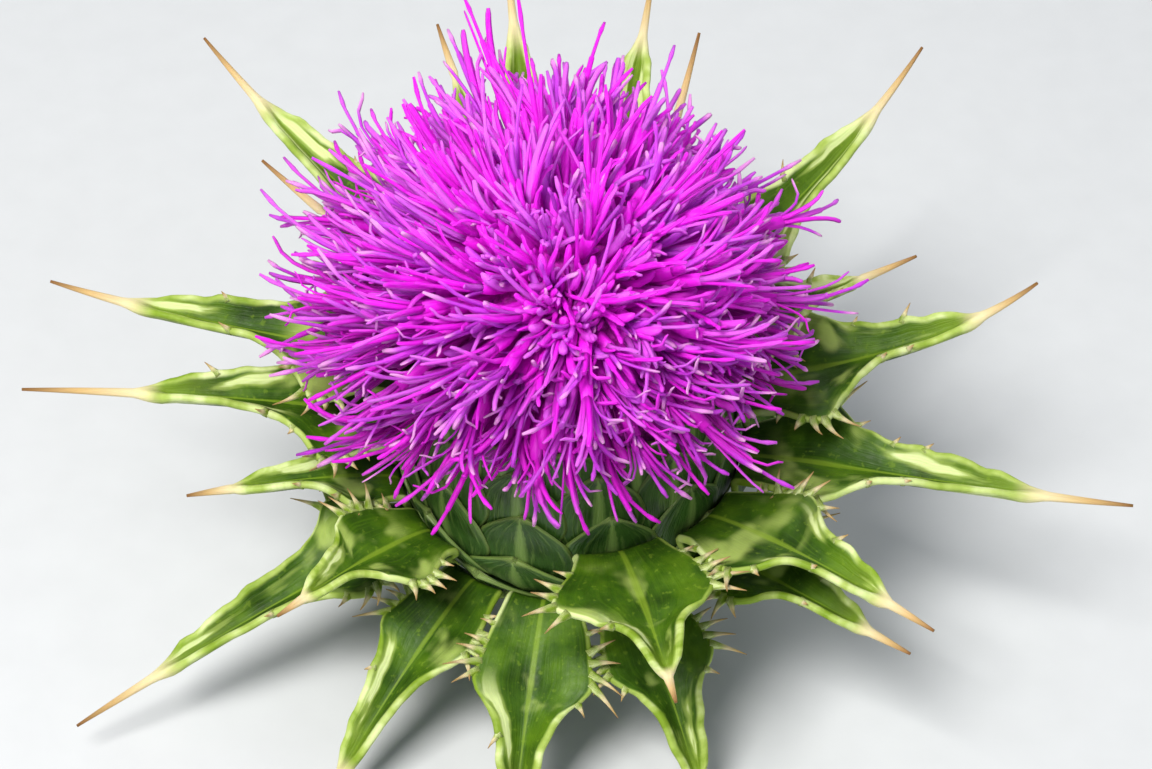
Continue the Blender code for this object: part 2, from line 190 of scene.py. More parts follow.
@dataclass(frozen=True)
class HeadPlace:
    """Where the flower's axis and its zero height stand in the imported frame, in metres."""

    x: float
    y: float
    z: float

    @classmethod
    def of_packed_stalk(cls, cut_z: float) -> "HeadPlace":
        """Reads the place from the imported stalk, which is round the axis and is cut at that height."""
        low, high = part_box("stalk")
        return cls((low.x + high.x) / 2, (low.y + high.y) / 2, low.z - cut_z * MM)

    def to_frame(self, points: Array) -> Array:
        """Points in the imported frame, in metres, from points in millimetres about the axis."""
        return points * MM + np.array((self.x, self.y, self.z))


@dataclass(frozen=True)
class Rod:
    """A closed rod along Z, from 0 to 1 and with a radius of 1, that long forms are bent from."""

    sides: int
    rings: int

    def mesh(self) -> bpy.types.Mesh:
        """Makes the rod from a cone with equal ends, cut across at every ring.

        Returns:
            The rod's mesh.
        """
        bm = bmesh.new()
        bmesh.ops.create_cone(
            bm, cap_ends=True, cap_tris=False, segments=self.sides, radius1=1, radius2=1, depth=1
        )
        bmesh.ops.translate(bm, verts=bm.verts, vec=(0, 0, 0.5))
        for i in range(1, self.rings - 1):
            whole = bm.verts[:] + bm.edges[:] + bm.faces[:]
            height = i / (self.rings - 1)
            bmesh.ops.bisect_plane(bm, geom=whole, plane_co=(0, 0, height), plane_no=(0, 0, 1))
        return as_mesh(bm, f"rod_{self.sides}_{self.rings}")

    def corners(self) -> "RodRings":
        """Reads where the corners of the rod's mesh are.

        Returns:
            The corners' places.
        """
        mesh = self.mesh()
        corners = np.zeros(len(mesh.vertices) * 3)
        mesh.vertices.foreach_get("co", corners)
        bpy.data.meshes.remove(mesh)
        x, y, z = corners.reshape(-1, 3).T
        return RodRings(np.rint(z * (self.rings - 1)).astype(int), x, y)


@dataclass(frozen=True)
class RodRings:
    """Which ring each corner of a rod is on, and where it stands round the ring."""

    ring: Array
    cosine: Array
    sine: Array

    def across(self) -> Array:
        """How far across the rod each corner is, from 0 to 1."""
        return self.cosine * 0.5 + 0.5


class Form:
    """A mesh under construction, which gathers rods that have been bent into shape.

    Two maps go with it. "place" holds how far across and along its form a corner lies. "kind" holds
    a strand's tint and which face the corner is on, or a leaf's distance to its edge and own number.
    """

    def __init__(self, name: str, head: HeadPlace) -> None:
        """Starts an empty form.

        Args:
            name: The name of the piece.
            head: Where the flower stands.
        """
        self.name = name
        self.head = head
        self.bm = bmesh.new()

    def add(self, rod: Rod, points: Array, place: Array, kind: Array) -> None:
        """Adds copies of a rod, each with its corners moved.

        Args:
            rod: The rod that is copied.
            points: The corners of each copy, as (copies, corners, 3), in millimetres.
            place: The place map's values, as (copies, corners, 2).
            kind: The kind map's values, as (copies, corners, 2).
        """
        template = rod.mesh()
        gathered = bmesh.new()
        for _ in range(len(points)):
            gathered.from_mesh(template)
        mesh = as_mesh(gathered, self.name)
        mesh.vertices.foreach_set("co", self.head.to_frame(points).ravel())
        corner_of = np.zeros(len(mesh.loops), int)
        mesh.loops.foreach_get("vertex_index", corner_of)
        for title, values in (("place", place), ("kind", kind)):
            layer = mesh.uv_layers.new(name=title)
            layer.data.foreach_set("uv", values.reshape(-1, 2)[corner_of].ravel())
        self.bm.from_mesh(mesh)
        bpy.data.meshes.remove(mesh)
        bpy.data.meshes.remove(template)

    def sweep(self, rod: Rod, strands: "Strands") -> None:
        """Adds a bundle of thin forms, bent from a rod that has as many rings as they have points."""
        rings = rod.corners()
        self.add(rod, strands.corners(rings), *strands.maps(rings))

    def finish(self, material: bpy.types.Material, slot: str, nodes: Sequence[str]) -> bpy.types.Object:
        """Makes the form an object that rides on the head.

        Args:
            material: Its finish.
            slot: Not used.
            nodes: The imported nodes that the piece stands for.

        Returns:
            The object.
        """
        bmesh.ops.recalc_face_normals(self.bm, faces=self.bm.faces)
        mesh = as_mesh(self.bm, self.name)
        mesh.shade_smooth()
        mesh.materials.append(material)
        piece = staged(self.name, mesh)
        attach(piece, ROOT_BODY)
        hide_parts(*nodes)
        mesh.calc_loop_triangles()
        LOG.info("%s: %d triangles for %s", self.name, len(mesh.loop_triangles), ", ".join(nodes))
        return piece


@dataclass
class Strands:
    """A bundle of thin forms, each with a path and a half width and half depth at every point of it."""

    paths: Array  # (strands, rings, 3)
    widths: Array  # (strands, rings)
    depths: Array  # (strands, rings)
    facing: Array  # (strands, 3): the way in which the width is measured
    along: Array  # (strands, rings): what the place map says of how far along a point is
    tint: Array  # (strands,)

    def corners(self, rings: RodRings) -> Array:
        """Where a rod's corners go on every strand.

        Args:
            rings: The rod's corners.

        Returns:
            Points as (strands, corners, 3).
        """
        heading = unit(np.gradient(self.paths, axis=1))
        facing = np.broadcast_to(self.facing[:, None, :], self.paths.shape)
        across = unit(facing - heading * (facing * heading).sum(-1, keepdims=True))
        lift = np.cross(heading, across)
        half_width = (self.widths[:, rings.ring] * rings.cosine)[..., None]
        half_depth = (self.depths[:, rings.ring] * rings.sine)[..., None]
        middle = self.paths[:, rings.ring]
        return middle + across[:, rings.ring] * half_width + lift[:, rings.ring] * half_depth

    def maps(self, rings: RodRings) -> tuple[Array, Array]:
        """The place and kind maps of the corners.

        Args:
            rings: The rod's corners.

        Returns:
            Both maps, each as (strands, corners, 2).
        """
        across = np.broadcast_to(rings.across(), (len(self.paths), len(rings.ring)))
        face = np.broadcast_to((rings.sine > 0).astype(float), across.shape)
        tint = np.broadcast_to(self.tint[:, None], across.shape)
        return joined(across, self.along[:, rings.ring]), joined(tint, face)


# ---------------------------------------------------------------------------------------------------
# Finishes
# ---------------------------------------------------------------------------------------------------


class Wiring:
    """Short words for wiring up a material's nodes."""

    def __init__(self, name: str) -> None:
        """Starts a material that holds only its shader.

        Args:
            name: The material's name.
        """
        self.material = bpy.data.materials.new(name)
        self.material.use_nodes = True
        self.tree = self.material.node_tree
        self.shader = self.tree.nodes["Principled BSDF"]

    def node(self, kind: str, **settings: object) -> bpy.types.Node:
        """Adds a node.

        Args:
            kind: The node's type.
            settings: Its properties.

        Returns:
            The node.
        """
        made = self.tree.nodes.new(kind)
        for name, value in settings.items():
            setattr(made, name, value)
        return made

    def feed(self, socket: Socket, value: object) -> None:
        """Links a socket to another, or sets it to a constant.

        Args:
            socket: The input.
            value: An output socket, a number or a colour.
        """
        if isinstance(value, Socket):
            self.tree.links.new(value, socket)
        elif isinstance(value, tuple) and len(value) == 3 and socket.type == "RGBA":
            socket.default_value = (*value, 1.0)
        else:
            socket.default_value = value

    def split(self, vector: Socket) -> tuple[Socket, Socket, Socket]:
        """Takes a vector apart.

        Args:
            vector: The vector.

        Returns:
            Its three values.
        """
        parts = self.node("ShaderNodeSeparateXYZ")
        self.feed(parts.inputs[0], vector)
        return tuple(parts.outputs)

    def own_map(self, name: str) -> tuple[Socket, Socket]:
        """The two values of one of the piece's own maps."""
        return self.split(self.node("ShaderNodeUVMap", uv_map=name).outputs[0])[:2]

    def object_point(self) -> Socket:
        """The point in the piece's own space."""
        return self.node("ShaderNodeTexCoord").outputs["Object"]

    def noise(self, scale: float, detail: float = 3.0, vector: Socket | None = None) -> Socket:
        """A cloudy pattern.

        Args:
            scale: Its fineness, per metre on the piece's own coordinates.
            detail: How many finer layers it has.
            vector: Other coordinates to read, if any.

        Returns:
            Its value, round 0.5.
        """
        cloud = self.node("ShaderNodeTexNoise")
        self.feed(cloud.inputs["Vector"], self.object_point() if vector is None else vector)
        self.feed(cloud.inputs["Scale"], scale)
        self.feed(cloud.inputs["Detail"], detail)
        return cloud.outputs["Fac"]

    def grain(self, place: tuple[Socket, Socket], fineness: Pair, own: Socket, detail: float = 3.0) -> Socket:
        """A cloudy pattern that is drawn out along its form, by the form's own map.

        Args:
            place: The places across and along the form.
            fineness: Its fineness across and along the form.
            own: A number of the form's own, which sets its pattern apart from the others'.
            detail: How many finer layers it has.

        Returns:
            Its value, round 0.5.
        """
        made = self.node("ShaderNodeCombineXYZ")
        for socket, value in zip(made.inputs, (*map(self.times, place, fineness), own)):
            self.feed(socket, value)
        return self.noise(1.0, detail, made.outputs[0])

    def math(self, operation: str, *values: object) -> Socket:
        """One step of arithmetic.

        Args:
            operation: The name of the step, as the Math node has it.
            values: The values, or sockets.

        Returns:
            The result.
        """
        made = self.node("ShaderNodeMath", operation=operation)
        for socket, value in zip(made.inputs, values):
            self.feed(socket, value)
        return made.outputs[0]

    def times(self, a: object, b: object) -> Socket:
        """The product of two values."""
        return self.math("MULTIPLY", a, b)

    def plus(self, a: object, b: object) -> Socket:
        """The sum of two values."""
        return self.math("ADD", a, b)

    def apart(self, a: object, b: object) -> Socket:
        """How far two values lie apart."""
        return self.math("ABSOLUTE", self.math("SUBTRACT", a, b))

    def mask(self, value: Socket, fade: Fade) -> Socket:
        """A value eased from one range to another.

        Args:
            value: The value.
            fade: Where the range starts and ends, and the results there if not 0 and 1.

        Returns:
            The eased value.
        """
        made = self.node("ShaderNodeMapRange", interpolation_type="SMOOTHSTEP")
        for socket, number in zip(made.inputs, (value, *fade)):
            self.feed(socket, number)
        return made.outputs[0]

    def stretch(self, value: Socket, *fades: Fade) -> Socket:
        """The product of two masks of the same value, which is a stretch with soft ends."""
        return self.times(*(self.mask(value, fade) for fade in fades))

    def blend(self, share: Socket, first: object, second: object, how: str = "MIX") -> Socket:
        """Two colours blended.

        Args:
            share: How much of the second.
            first: The colour under it, or a socket.
            second: The colour over it, or a socket.
            how: The kind of blend.

        Returns:
            The colour.
        """
        made = self.node("ShaderNodeMix", data_type="RGBA", blend_type=how)
        for name, value in (("Factor", share), (6, first), (7, second)):
            self.feed(made.inputs[name], value)
        return made.outputs[2]

    def ramp(self, value: Socket, *stops: tuple[float, Colour]) -> Socket:
        """A colour that changes with a value.

        Args:
            value: The value.
            stops: (place, colour) pairs, by rising place.

        Returns:
            The colour.
        """
        made = self.node("ShaderNodeValToRGB")
        elements = made.color_ramp.elements
        while len(elements) < len(stops):
            elements.new(0.5)
        for element, (place, colour) in zip(elements, stops):
            element.position = place
            element.color = (*colour, 1.0)
        self.feed(made.inputs[0], value)
        return made.outputs[0]

    def surface(self, colour: Socket, roughness: object, shine: float = 0.5) -> None:
        """Sets the shader's surface.

        Args:
            colour: Its colour.
            roughness: How rough it is, or a socket.
            shine: The strength of its gloss.
        """
        self.feed(self.shader.inputs["Base Color"], colour)
        self.feed(self.shader.inputs["Roughness"], roughness)
        self.feed(self.shader.inputs["Specular IOR Level"], shine)

    def relief(self, height: Socket, depth: float) -> None:
        """Gives the surface a fine relief.

        Args:
            height: The relief's height, from 0 to 1.
            depth: How far 1 stands out, in metres.
        """
        bump = self.node("ShaderNodeBump")
        for name, value in (("Strength", 1.0), ("Distance", depth), ("Height", height)):
            self.feed(bump.inputs[name], value)
        self.feed(self.shader.inputs["Normal"], bump.outputs[0])

    def fleshy(self, weight: float, depth: float, reach: Colour) -> None:
        """Lets a share of the light in, to a depth in metres that differs for red, green and blue."""
        for name, value in (("Weight", weight), ("Scale", depth), ("Radius", reach)):
            self.feed(self.shader.inputs[f"Subsurface {name}"], value)


@dataclass(frozen=True)
class BractFinish:
    """The skin of a spreading bract: green channel with pale marbling and painted highlights, pale thick
    margins, and a horny tan spine.

    Along the bract, its place map is 0.3 at the shoulder's end, 0.8 where the spine starts, 1 at the tip.
    """

    deep: Colour = (0.012, 0.036, 0.002)
    green: Colour = (0.034, 0.088, 0.004)
    fresh: Colour = (0.080, 0.165, 0.006)
    margin: Colour = (0.200, 0.310, 0.022)
    blotch: Colour = (0.330, 0.430, 0.100)
    rim: Colour = (0.380, 0.490, 0.110)
    # the near-white of the channel's streak: white marbling with a painted highlight
    streak: Colour = (0.630, 0.720, 0.330)
    cream: Colour = (0.760, 0.650, 0.380)
    tan: Colour = (0.600, 0.400, 0.170)
    brown: Colour = (0.260, 0.120, 0.040)
    own_step: float = 37.0  # how far apart two bracts' patterns are read
    # where each part of the pattern starts and ends, and how strong it is there
    vein_show: Fade = (0.50, 0.70, 0, 0.30)
    fleck_show: Fade = (0.60, 0.72, 0, 0.30)
    # the shoulder's pale blotch: white marbling with painted highlight, stronger with pallor
    shoulder: tuple[Fade, Fade] = ((0.12, 0.20), (0.30, 0.38, 1, 0))
    blotch_show: Fade = (0.60, 0.76, 0, 0.85)
    blotch_gain: float = 0.22
    pale_end: Fade = (0.46, 0.80, 0, 0.75)
    # the channel's pale streak: white marbling with a painted highlight of the channel's wall
    streaked: tuple[Fade, Fade] = ((0.24, 0.36), (0.70, 0.78, 1, 0))
    streak_girth: Fade = (0.50, 0.74, -0.09, 0.13)
    streak_middle: Fade = (0.25, 0.75, 0.37, 0.24)
    streak_gain: float = 0.17
    streak_rim: Fade = (-0.10, 0.02, 0, 0.6)
    streak_core: Fade = (-0.005, 0.05, 0, 0.9)
    rib_width: Fade = (0.012, 0.04, 0.6, 0)
    rib_end: Fade = (0.5, 0.7, 1, 0)
    # how much pallor, with its painted highlight, pales the rims
    rim_paling_gain: float = 0.10
    rim_width: Fade = (0.038, 0.070, 0.88, 0)
    rim_wander: float = 0.03
    cream_start: Fade = (0.71, 0.80, 0, 0.85)
    horn_start: Fade = (0.785, 0.82)
    roughness: Fade = (0.2, 0.8, 0.40, 0.60)
    shine: float = 0.16

    def material(self) -> bpy.types.Material:
        """Wires up the finish.

        Returns:
            The material.
        """
        w = Wiring("bract_skin")
        place = w.own_map("place")
        side, along = place
        edge, pallor = w.own_map("kind")
        own = w.times(pallor, self.own_step)
        patches = w.noise(260, 4)
        flecks = w.noise(1500, 2)
        veins = w.grain(place, (34, 5), own)
        from_rib = w.apart(side, 0.5)
        body = w.ramp(patches, (0.30, self.deep), (0.50, self.green), (0.70, self.fresh))
        body = w.blend(w.mask(veins, self.vein_show), body, self.fresh)
        body = w.blend(w.mask(flecks, self.fleck_show), body, self.margin)
        # A pale blotch on the shoulder, more with pallor: white marbling with painted highlight.
        broad = w.plus(w.grain(place, (2.5, 9), own, 2), w.times(pallor, self.blotch_gain))
        blotch = w.times(w.mask(broad, self.blotch_show), w.stretch(along, *self.shoulder))
        body = w.blend(blotch, body, self.blotch)
        body = w.blend(w.mask(along, self.pale_end), body, self.margin)
        # A pale streak along the channel, off the midrib: white marbling with a painted highlight of the
        # channel's wall; pallor widens it.
        runs = w.plus(w.grain(place, (2.2, 2.6), own), w.times(pallor, self.streak_gain))
        off_streak = w.apart(from_rib, w.mask(along, self.streak_middle))
        inside = w.math("SUBTRACT", w.mask(runs, self.streak_girth), off_streak)
        streaked = w.stretch(along, *self.streaked)
        body = w.blend(w.times(streaked, w.mask(inside, self.streak_rim)), body, self.rim)
        body = w.blend(w.times(streaked, w.mask(inside, self.streak_core)), body, self.streak)
        rib = w.times(w.mask(from_rib, self.rib_width), w.mask(along, self.rib_end))
        body = w.blend(rib, body, self.margin)
        # The rims pale unevenly from the margin's green to the streak's near-white; pallor, which carries
        # painted highlight, pales them more.
        rim_paling = w.plus(w.grain(place, (2, 9), own), w.times(pallor, self.rim_paling_gain))
        edging = w.ramp(rim_paling, (0.40, self.margin), (0.54, self.rim), (0.68, self.streak))
        rim = w.mask(w.plus(edge, w.times(patches, self.rim_wander)), self.rim_width)
        colour = w.blend(rim, body, edging)
        colour = w.blend(w.mask(along, self.cream_start), colour, self.cream)
        horn = w.ramp(along, (0.80, self.cream), (0.90, self.tan), (0.995, self.brown))
        colour = w.blend(w.mask(along, self.horn_start), colour, horn)
        w.surface(colour, w.mask(flecks, self.roughness), self.shine)
        w.relief(w.plus(w.times(veins, 0.6), w.times(flecks, 0.4)), 0.00012)
        w.fleshy(0.12, 0.0012, (0.7, 1.0, 0.25))
        return w.material


@dataclass(frozen=True)
class ScaleFinish:
    """The skin of the appressed scales: deep green, with a paler midrib and a thin pale edge."""

    deep: Colour = (0.012, 0.040, 0.006)
    green: Colour = (0.040, 0.115, 0.012)
    rib: Colour = (0.190, 0.300, 0.070)
    edge: Colour = (0.210, 0.300, 0.070)
    vein_show: Fade = (0.5, 0.7, 0, 0.35)
    rib_width: Fade = (0.02, 0.09, 0.75, 0)
    edge_width: Fade = (0.01, 0.05, 0.6, 0)
    pale_tip: Fade = (0.92, 1.0, 0, 0.7)
    roughness: Fade = (0.3, 0.7, 0.34, 0.5)

    def material(self) -> bpy.types.Material:
        """Wires up the finish.

        Returns:
            The material.
        """
        w = Wiring("involucre_skin")
        place = w.own_map("place")
        side, along = place
        edge, tint = w.own_map("kind")
        patches = w.noise(330, 4)
        veins = w.grain(place, (26, 3), tint)
        body = w.ramp(patches, (0.32, self.deep), (0.68, self.green))
        body = w.blend(w.mask(veins, self.vein_show), body, self.rib)
        body = w.blend(w.mask(w.apart(side, 0.5), self.rib_width), body, self.rib)
        colour = w.blend(w.mask(edge, self.edge_width), body, self.edge)
        colour = w.blend(w.mask(along, self.pale_tip), colour, self.edge)
        w.surface(colour, w.mask(patches, self.roughness))
        w.relief(veins, 0.0002)
        w.fleshy(0.08, 0.001, (0.7, 1.0, 0.25))
        return w.material


@dataclass(frozen=True)
class FloretFinish:
    """The petal-thin skin of the florets: hot magenta to violet, with painted shade low down, some tips
    blush.
    """

    root: Colour = (0.800, 0.010, 0.660)
    hot: Colour = (0.900, 0.014, 0.830)
    deep: Colour = (0.700, 0.005, 0.640)
    violet: Colour = (0.540, 0.050, 0.720)
    lilac: Colour = (0.730, 0.140, 0.840)
    blush: Colour = (0.900, 0.370, 0.710)
    # the colour of the painted shade, multiplied over the lower florets
    shade: Colour = (0.430, 0.160, 0.400)
    # where each part of the pattern starts and ends, and how strong it is there
    root_end: Fade = (0.20, 0.50, 1, 0)
    tip_start: Fade = (0.60, 0.94, 0, 0.8)
    streak_show: Fade = (0.48, 0.72, 0, 0.35)
    # painted shade: these masks darken the florets towards the bottom of the tuft, by height in metres
    painted_shade_height: Fade = (0.032, 0.054, 0.95, 0)  # heights in metres
    low_hot: Fade = (0.66, 0.90, 0.9, 0)
    low_shade: Fade = (0.66, 0.95, 1, 0.5)
    cap_start: Fade = (0.87, 0.97)
    cap_share: Fade = (0.82, 0.86)
    cap_strength: float = 0.68
    roughness: Fade = (0.3, 0.7, 0.42, 0.62)
    shine: float = 0.2

    def material(self) -> bpy.types.Material:
        """Wires up the finish.

        Returns:
            The material.
        """
        w = Wiring("floret_skin")
        place = w.own_map("place")
        along = place[1]
        tint, _face = w.own_map("kind")
        streaks = w.grain(place, (5, 14), tint)
        hot, lilac, violet = self.hot, self.lilac, self.violet
        hue = w.ramp(tint, (0.0, self.deep), (0.14, hot), (0.42, hot), (0.56, lilac), (0.80, violet))
        ends = w.ramp(tint, (0.0, hot), (0.30, hot), (0.48, lilac), (0.78, violet))
        body = w.blend(w.mask(along, self.root_end), hue, self.root)
        body = w.blend(w.mask(along, self.tip_start), body, ends)
        body = w.blend(w.mask(streaks, self.streak_show), body, lilac)
        # Painted shade: low on the tuft the bases turn hot magenta, then the strands are multiplied by the
        # shade colour, less towards their tips.
        low = w.mask(w.split(w.object_point())[2], self.painted_shade_height)
        body = w.blend(w.times(low, w.mask(along, self.low_hot)), body, hot)
        body = w.blend(w.times(low, w.mask(along, self.low_shade)), body, self.shade, "MULTIPLY")
        caps = w.times(w.mask(along, self.cap_start), w.mask(tint, self.cap_share))
        colour = w.blend(w.times(caps, self.cap_strength), body, self.blush)
        w.surface(colour, w.mask(streaks, self.roughness), self.shine)
        w.relief(streaks, 0.00012)
        w.fleshy(0.35, 0.0022, (1.0, 0.3, 0.9))
        return w.material


@dataclass(frozen=True)
class CoreFinish:
    """The finish of the dome at the bottom of the tuft, which shows between the floret tubes."""

    shade: Colour = (0.340, 0.004, 0.300)
    light: Colour = (0.700, 0.010, 0.600)
    roughness: float = 0.7

    def material(self) -> bpy.types.Material:
        """Wires up the finish.

        Returns:
            The material.
        """
        w = Wiring("tuft_core")
        cells = w.noise(1400, 3)
        w.surface(w.ramp(cells, (0.35, self.shade), (0.65, self.light)), self.roughness)
        w.relief(cells, 0.0006)
        return w.material


@dataclass(frozen=True)
class StalkFinish:
    """The skin of the ribbed stalk: grey-green grooves, paler ribs, and a pale cut end."""

    groove: Colour = (0.110, 0.190, 0.055)
    rib: Colour = (0.330, 0.430, 0.160)
    pith: Colour = (0.700, 0.740, 0.480)
    rib_show: Fade = (0.25, 0.9)
    fibre_show: Fade = (0.5, 0.7, 0, 0.4)
    cut_show: Fade = (0.4, 0.6)
    speckle_show: Fade = (0.55, 0.75, 0, 0.3)
    roughness: Fade = (0.3, 0.7, 0.45, 0.65)

    def material(self) -> bpy.types.Material:
        """Wires up the finish.

        Returns:
            The material.
        """
        w = Wiring("stalk_skin")
        rib, cut = w.own_map("place")
        fibres = w.noise(900, 4)
        body = w.blend(w.mask(rib, self.rib_show), self.groove, self.rib)
        body = w.blend(w.mask(fibres, self.fibre_show), body, self.rib)
        colour = w.blend(w.mask(cut, self.cut_show), body, self.pith)
        colour = w.blend(w.mask(fibres, self.speckle_show), colour, self.groove)
        w.surface(colour, w.mask(fibres, self.roughness))
        w.relief(fibres, 0.0003)
        return w.material


# ---------------------------------------------------------------------------------------------------
# The involucre
# ---------------------------------------------------------------------------------------------------


@dataclass(frozen=True)
class Wall:
    """The cup's outer wall: a round bottom, a belly and a slightly drawn-in mouth."""

    base_z: float = 8.0
    belly_z: float = 20.5
    rim_z: float = 34.5
    neck_r: float = 4.2
    belly_r: float = 16.0
    mouth_r: float = 14.6

    def radius(self, z: Array) -> Array:
        """The wall's radius at each height.

        Args:
            z: The heights.

        Returns:
            The radii.
        """
        down = np.clip((self.belly_z - z) / (self.belly_z - self.base_z), 0, 1)
        bottom = self.neck_r + (self.belly_r - self.neck_r) * np.sqrt(1 - down**2)
        up = np.clip((z - self.belly_z) / (self.rim_z - self.belly_z), 0, 1)
        top = self.mouth_r + (self.belly_r - self.mouth_r) * np.cos(math.pi / 2 * up) ** 2
        return np.where(z <= self.belly_z, bottom, top)

    def off_wall(self, z: Array, offset: Array) -> tuple[Array, Array]:
        """Points in the radial plane that stand off the wall, and the wall's heading there.

        Args:
            z: The heights on the wall.
            offset: How far off it.

        Returns:
            Points and headings, each as (radius, z) on the last axis.
        """
        step = 0.05
        rise = self.radius(z + step) - self.radius(z - step)
        along = unit(joined(rise, np.full_like(rise, 2 * step)))
        outward = joined(along[..., 1], -along[..., 0])
        return joined(self.radius(z), z) + outward * np.asarray(offset)[..., None], along


@dataclass(frozen=True)
class ScaleRow:
    """One ring of scales that lie on the cup, each over the feet of the next ring."""

    foot_z: float
    tip_z: float
    count: int
    first: float
    flare: float = 0.0


@dataclass
class Involucre:
    """The cup under the florets: a body of revolution, and the scales that cover it."""

    head: HeadPlace
    wall: Wall
    body_inset: float = 1.0
    rim_inset: float = 1.0
    floor_z: float = 31.0
    lip: float = 1.4
    steps: int = 64
    profile_points: int = 12
    overlap: float = 1.22  # a scale's width, against its share of the ring
    foot_offset: float = -0.9  # how far off the wall a scale's foot and tip lie
    tip_offset: float = 0.1
    thickness: float = 0.32
    keel: float = 0.22
    keel_width: float = 0.7
    twist: float = 0.16  # how far a scale's one side stands out past the other
    flare_from: float = 0.66  # where a flared scale starts to turn out
    flare_run: float = 0.34
    scale_rod: Rod = Rod(16, 14)
    rows: tuple[ScaleRow, ...] = (
        ScaleRow(8.6, 15.5, 8, 10),
        ScaleRow(11.5, 20.5, 10, 0),
        ScaleRow(16.0, 26.0, 12, 14),
        ScaleRow(20.5, 31.0, 13, 3),
        ScaleRow(25.0, 35.8, 15, 6, 2.0),
    )
    # (share of the way from foot to tip, share of the half width)
    outline: tuple[Pair, ...] = (
        (0.0, 0.60),
        (0.40, 1.0),
        (0.66, 0.84),
        (0.86, 0.46),
        (0.96, 0.17),
        (1.0, 0.04),
    )

    def body(self, form: Form) -> None:
        """Spins the cup's body, with a recess that the florets stand in.

        Args:
            form: The form that it is added to.
        """
        rim_z = self.wall.rim_z - self.rim_inset
        down = np.sin(np.linspace(0, math.pi / 2, self.profile_points))
        heights = rim_z + (self.wall.base_z - rim_z) * down
        outside = joined(self.wall.radius(heights) - self.body_inset, heights)
        inside_r = self.wall.mouth_r - self.body_inset - self.lip
        profile = [(0.0, self.floor_z), (inside_r, self.floor_z), (inside_r, rim_z)]
        profile += [tuple(point) for point in outside] + [(0.0, self.wall.base_z)]
        points = np.array([(radius, 0.0, z) for radius, z in profile])
        verts = [form.bm.verts.new(point) for point in self.head.to_frame(points)]
        edges = [form.bm.edges.new(pair) for pair in zip(verts, verts[1:])]
        bmesh.ops.spin(
            form.bm,
            geom=verts + edges,
            cent=(self.head.x, self.head.y, 0),
            axis=(0, 0, 1),
            angle=math.tau,
            steps=self.steps,
            use_merge=True,
        )
        bmesh.ops.remove_doubles(form.bm, verts=form.bm.verts, dist=0.01 * MM)

    def scale_corners(self, row: ScaleRow, turn: float, rings: RodRings) -> tuple[Array, Array, Array]:
        """One scale's corners and maps.

        Args:
            row: The ring it belongs to.
            turn: The azimuth it lies at.
            rings: The rod's corners.

        Returns:
            Its points, place map and kind map.
        """
        share = rings.ring / (self.scale_rod.rings - 1)
        z = row.foot_z + (row.tip_z - row.foot_z) * share
        widest = math.pi * self.wall.belly_r / row.count * self.overlap
        half = monotone(self.outline, share) * widest
        x = rings.cosine * half
        edge = half - np.abs(x)
        depth = self.thickness * np.sqrt(np.clip(1 - rings.cosine**2, 0, 1)) ** 0.6
        depth = np.minimum(depth, half)
        raised = np.where(rings.sine > 0, self.keel * np.exp(-((x / self.keel_width) ** 2)), 0)
        offset = self.foot_offset + (self.tip_offset - self.foot_offset) * smooth(share)
        offset = offset + self.twist * rings.cosine + np.sign(rings.sine) * depth + raised
        point, _along = self.wall.off_wall(z, offset)
        radius = point[:, 0] + row.flare * smooth((share - self.flare_from) / self.flare_run) ** 1.5
        angle = x / self.wall.radius(z)
        points = turned(polar(radius, angle, point[:, 1]), turn)
        own = np.full_like(edge, turn * SPREAD % 1)
        return points, joined(rings.across(), share), joined(edge * EDGE_UNIT, own)

    def build(self, finish: ScaleFinish) -> bpy.types.Object:
        """Makes the whole involucre.

        Args:
            finish: The scales' skin.

        Returns:
            The piece.
        """
        form = Form("involucre_scales", self.head)
        rings = self.scale_rod.corners()
        made = [
            self.scale_corners(row, row.first + 360 / row.count * i, rings)
            for row in self.rows
            for i in range(row.count)
        ]
        points, place, kind = (np.stack(column) for column in zip(*made))
        form.add(self.scale_rod, points, place, kind)
        self.body(form)
        return form.finish(finish.material(), "involucre_green", ["involucre"])


# ---------------------------------------------------------------------------------------------------
# The spreading bracts
# ---------------------------------------------------------------------------------------------------


class Whorl(Enum):
    """The three rings of spreading bracts, from the stalk up."""

    LOWER = "lower"
    MIDDLE = "middle"
    UPPER = "upper"


@dataclass(frozen=True)
class BractPlan:
    """Where one bract bends away from the cup and where its spine ends.

    Its width is a share of the common widths, its curl the angle by which the blade turns up towards
    its tip, and its claw the height of the part that is pressed to the cup.
    """

    azimuth: float
    bend_z: float
    reach: float
    tip_z: float
    width: float = 1.0
    curl: float = -8.0
    claw: float = 3.6
    horn: float = 0.70  # the share of the blade past the shoulder at which its spine starts


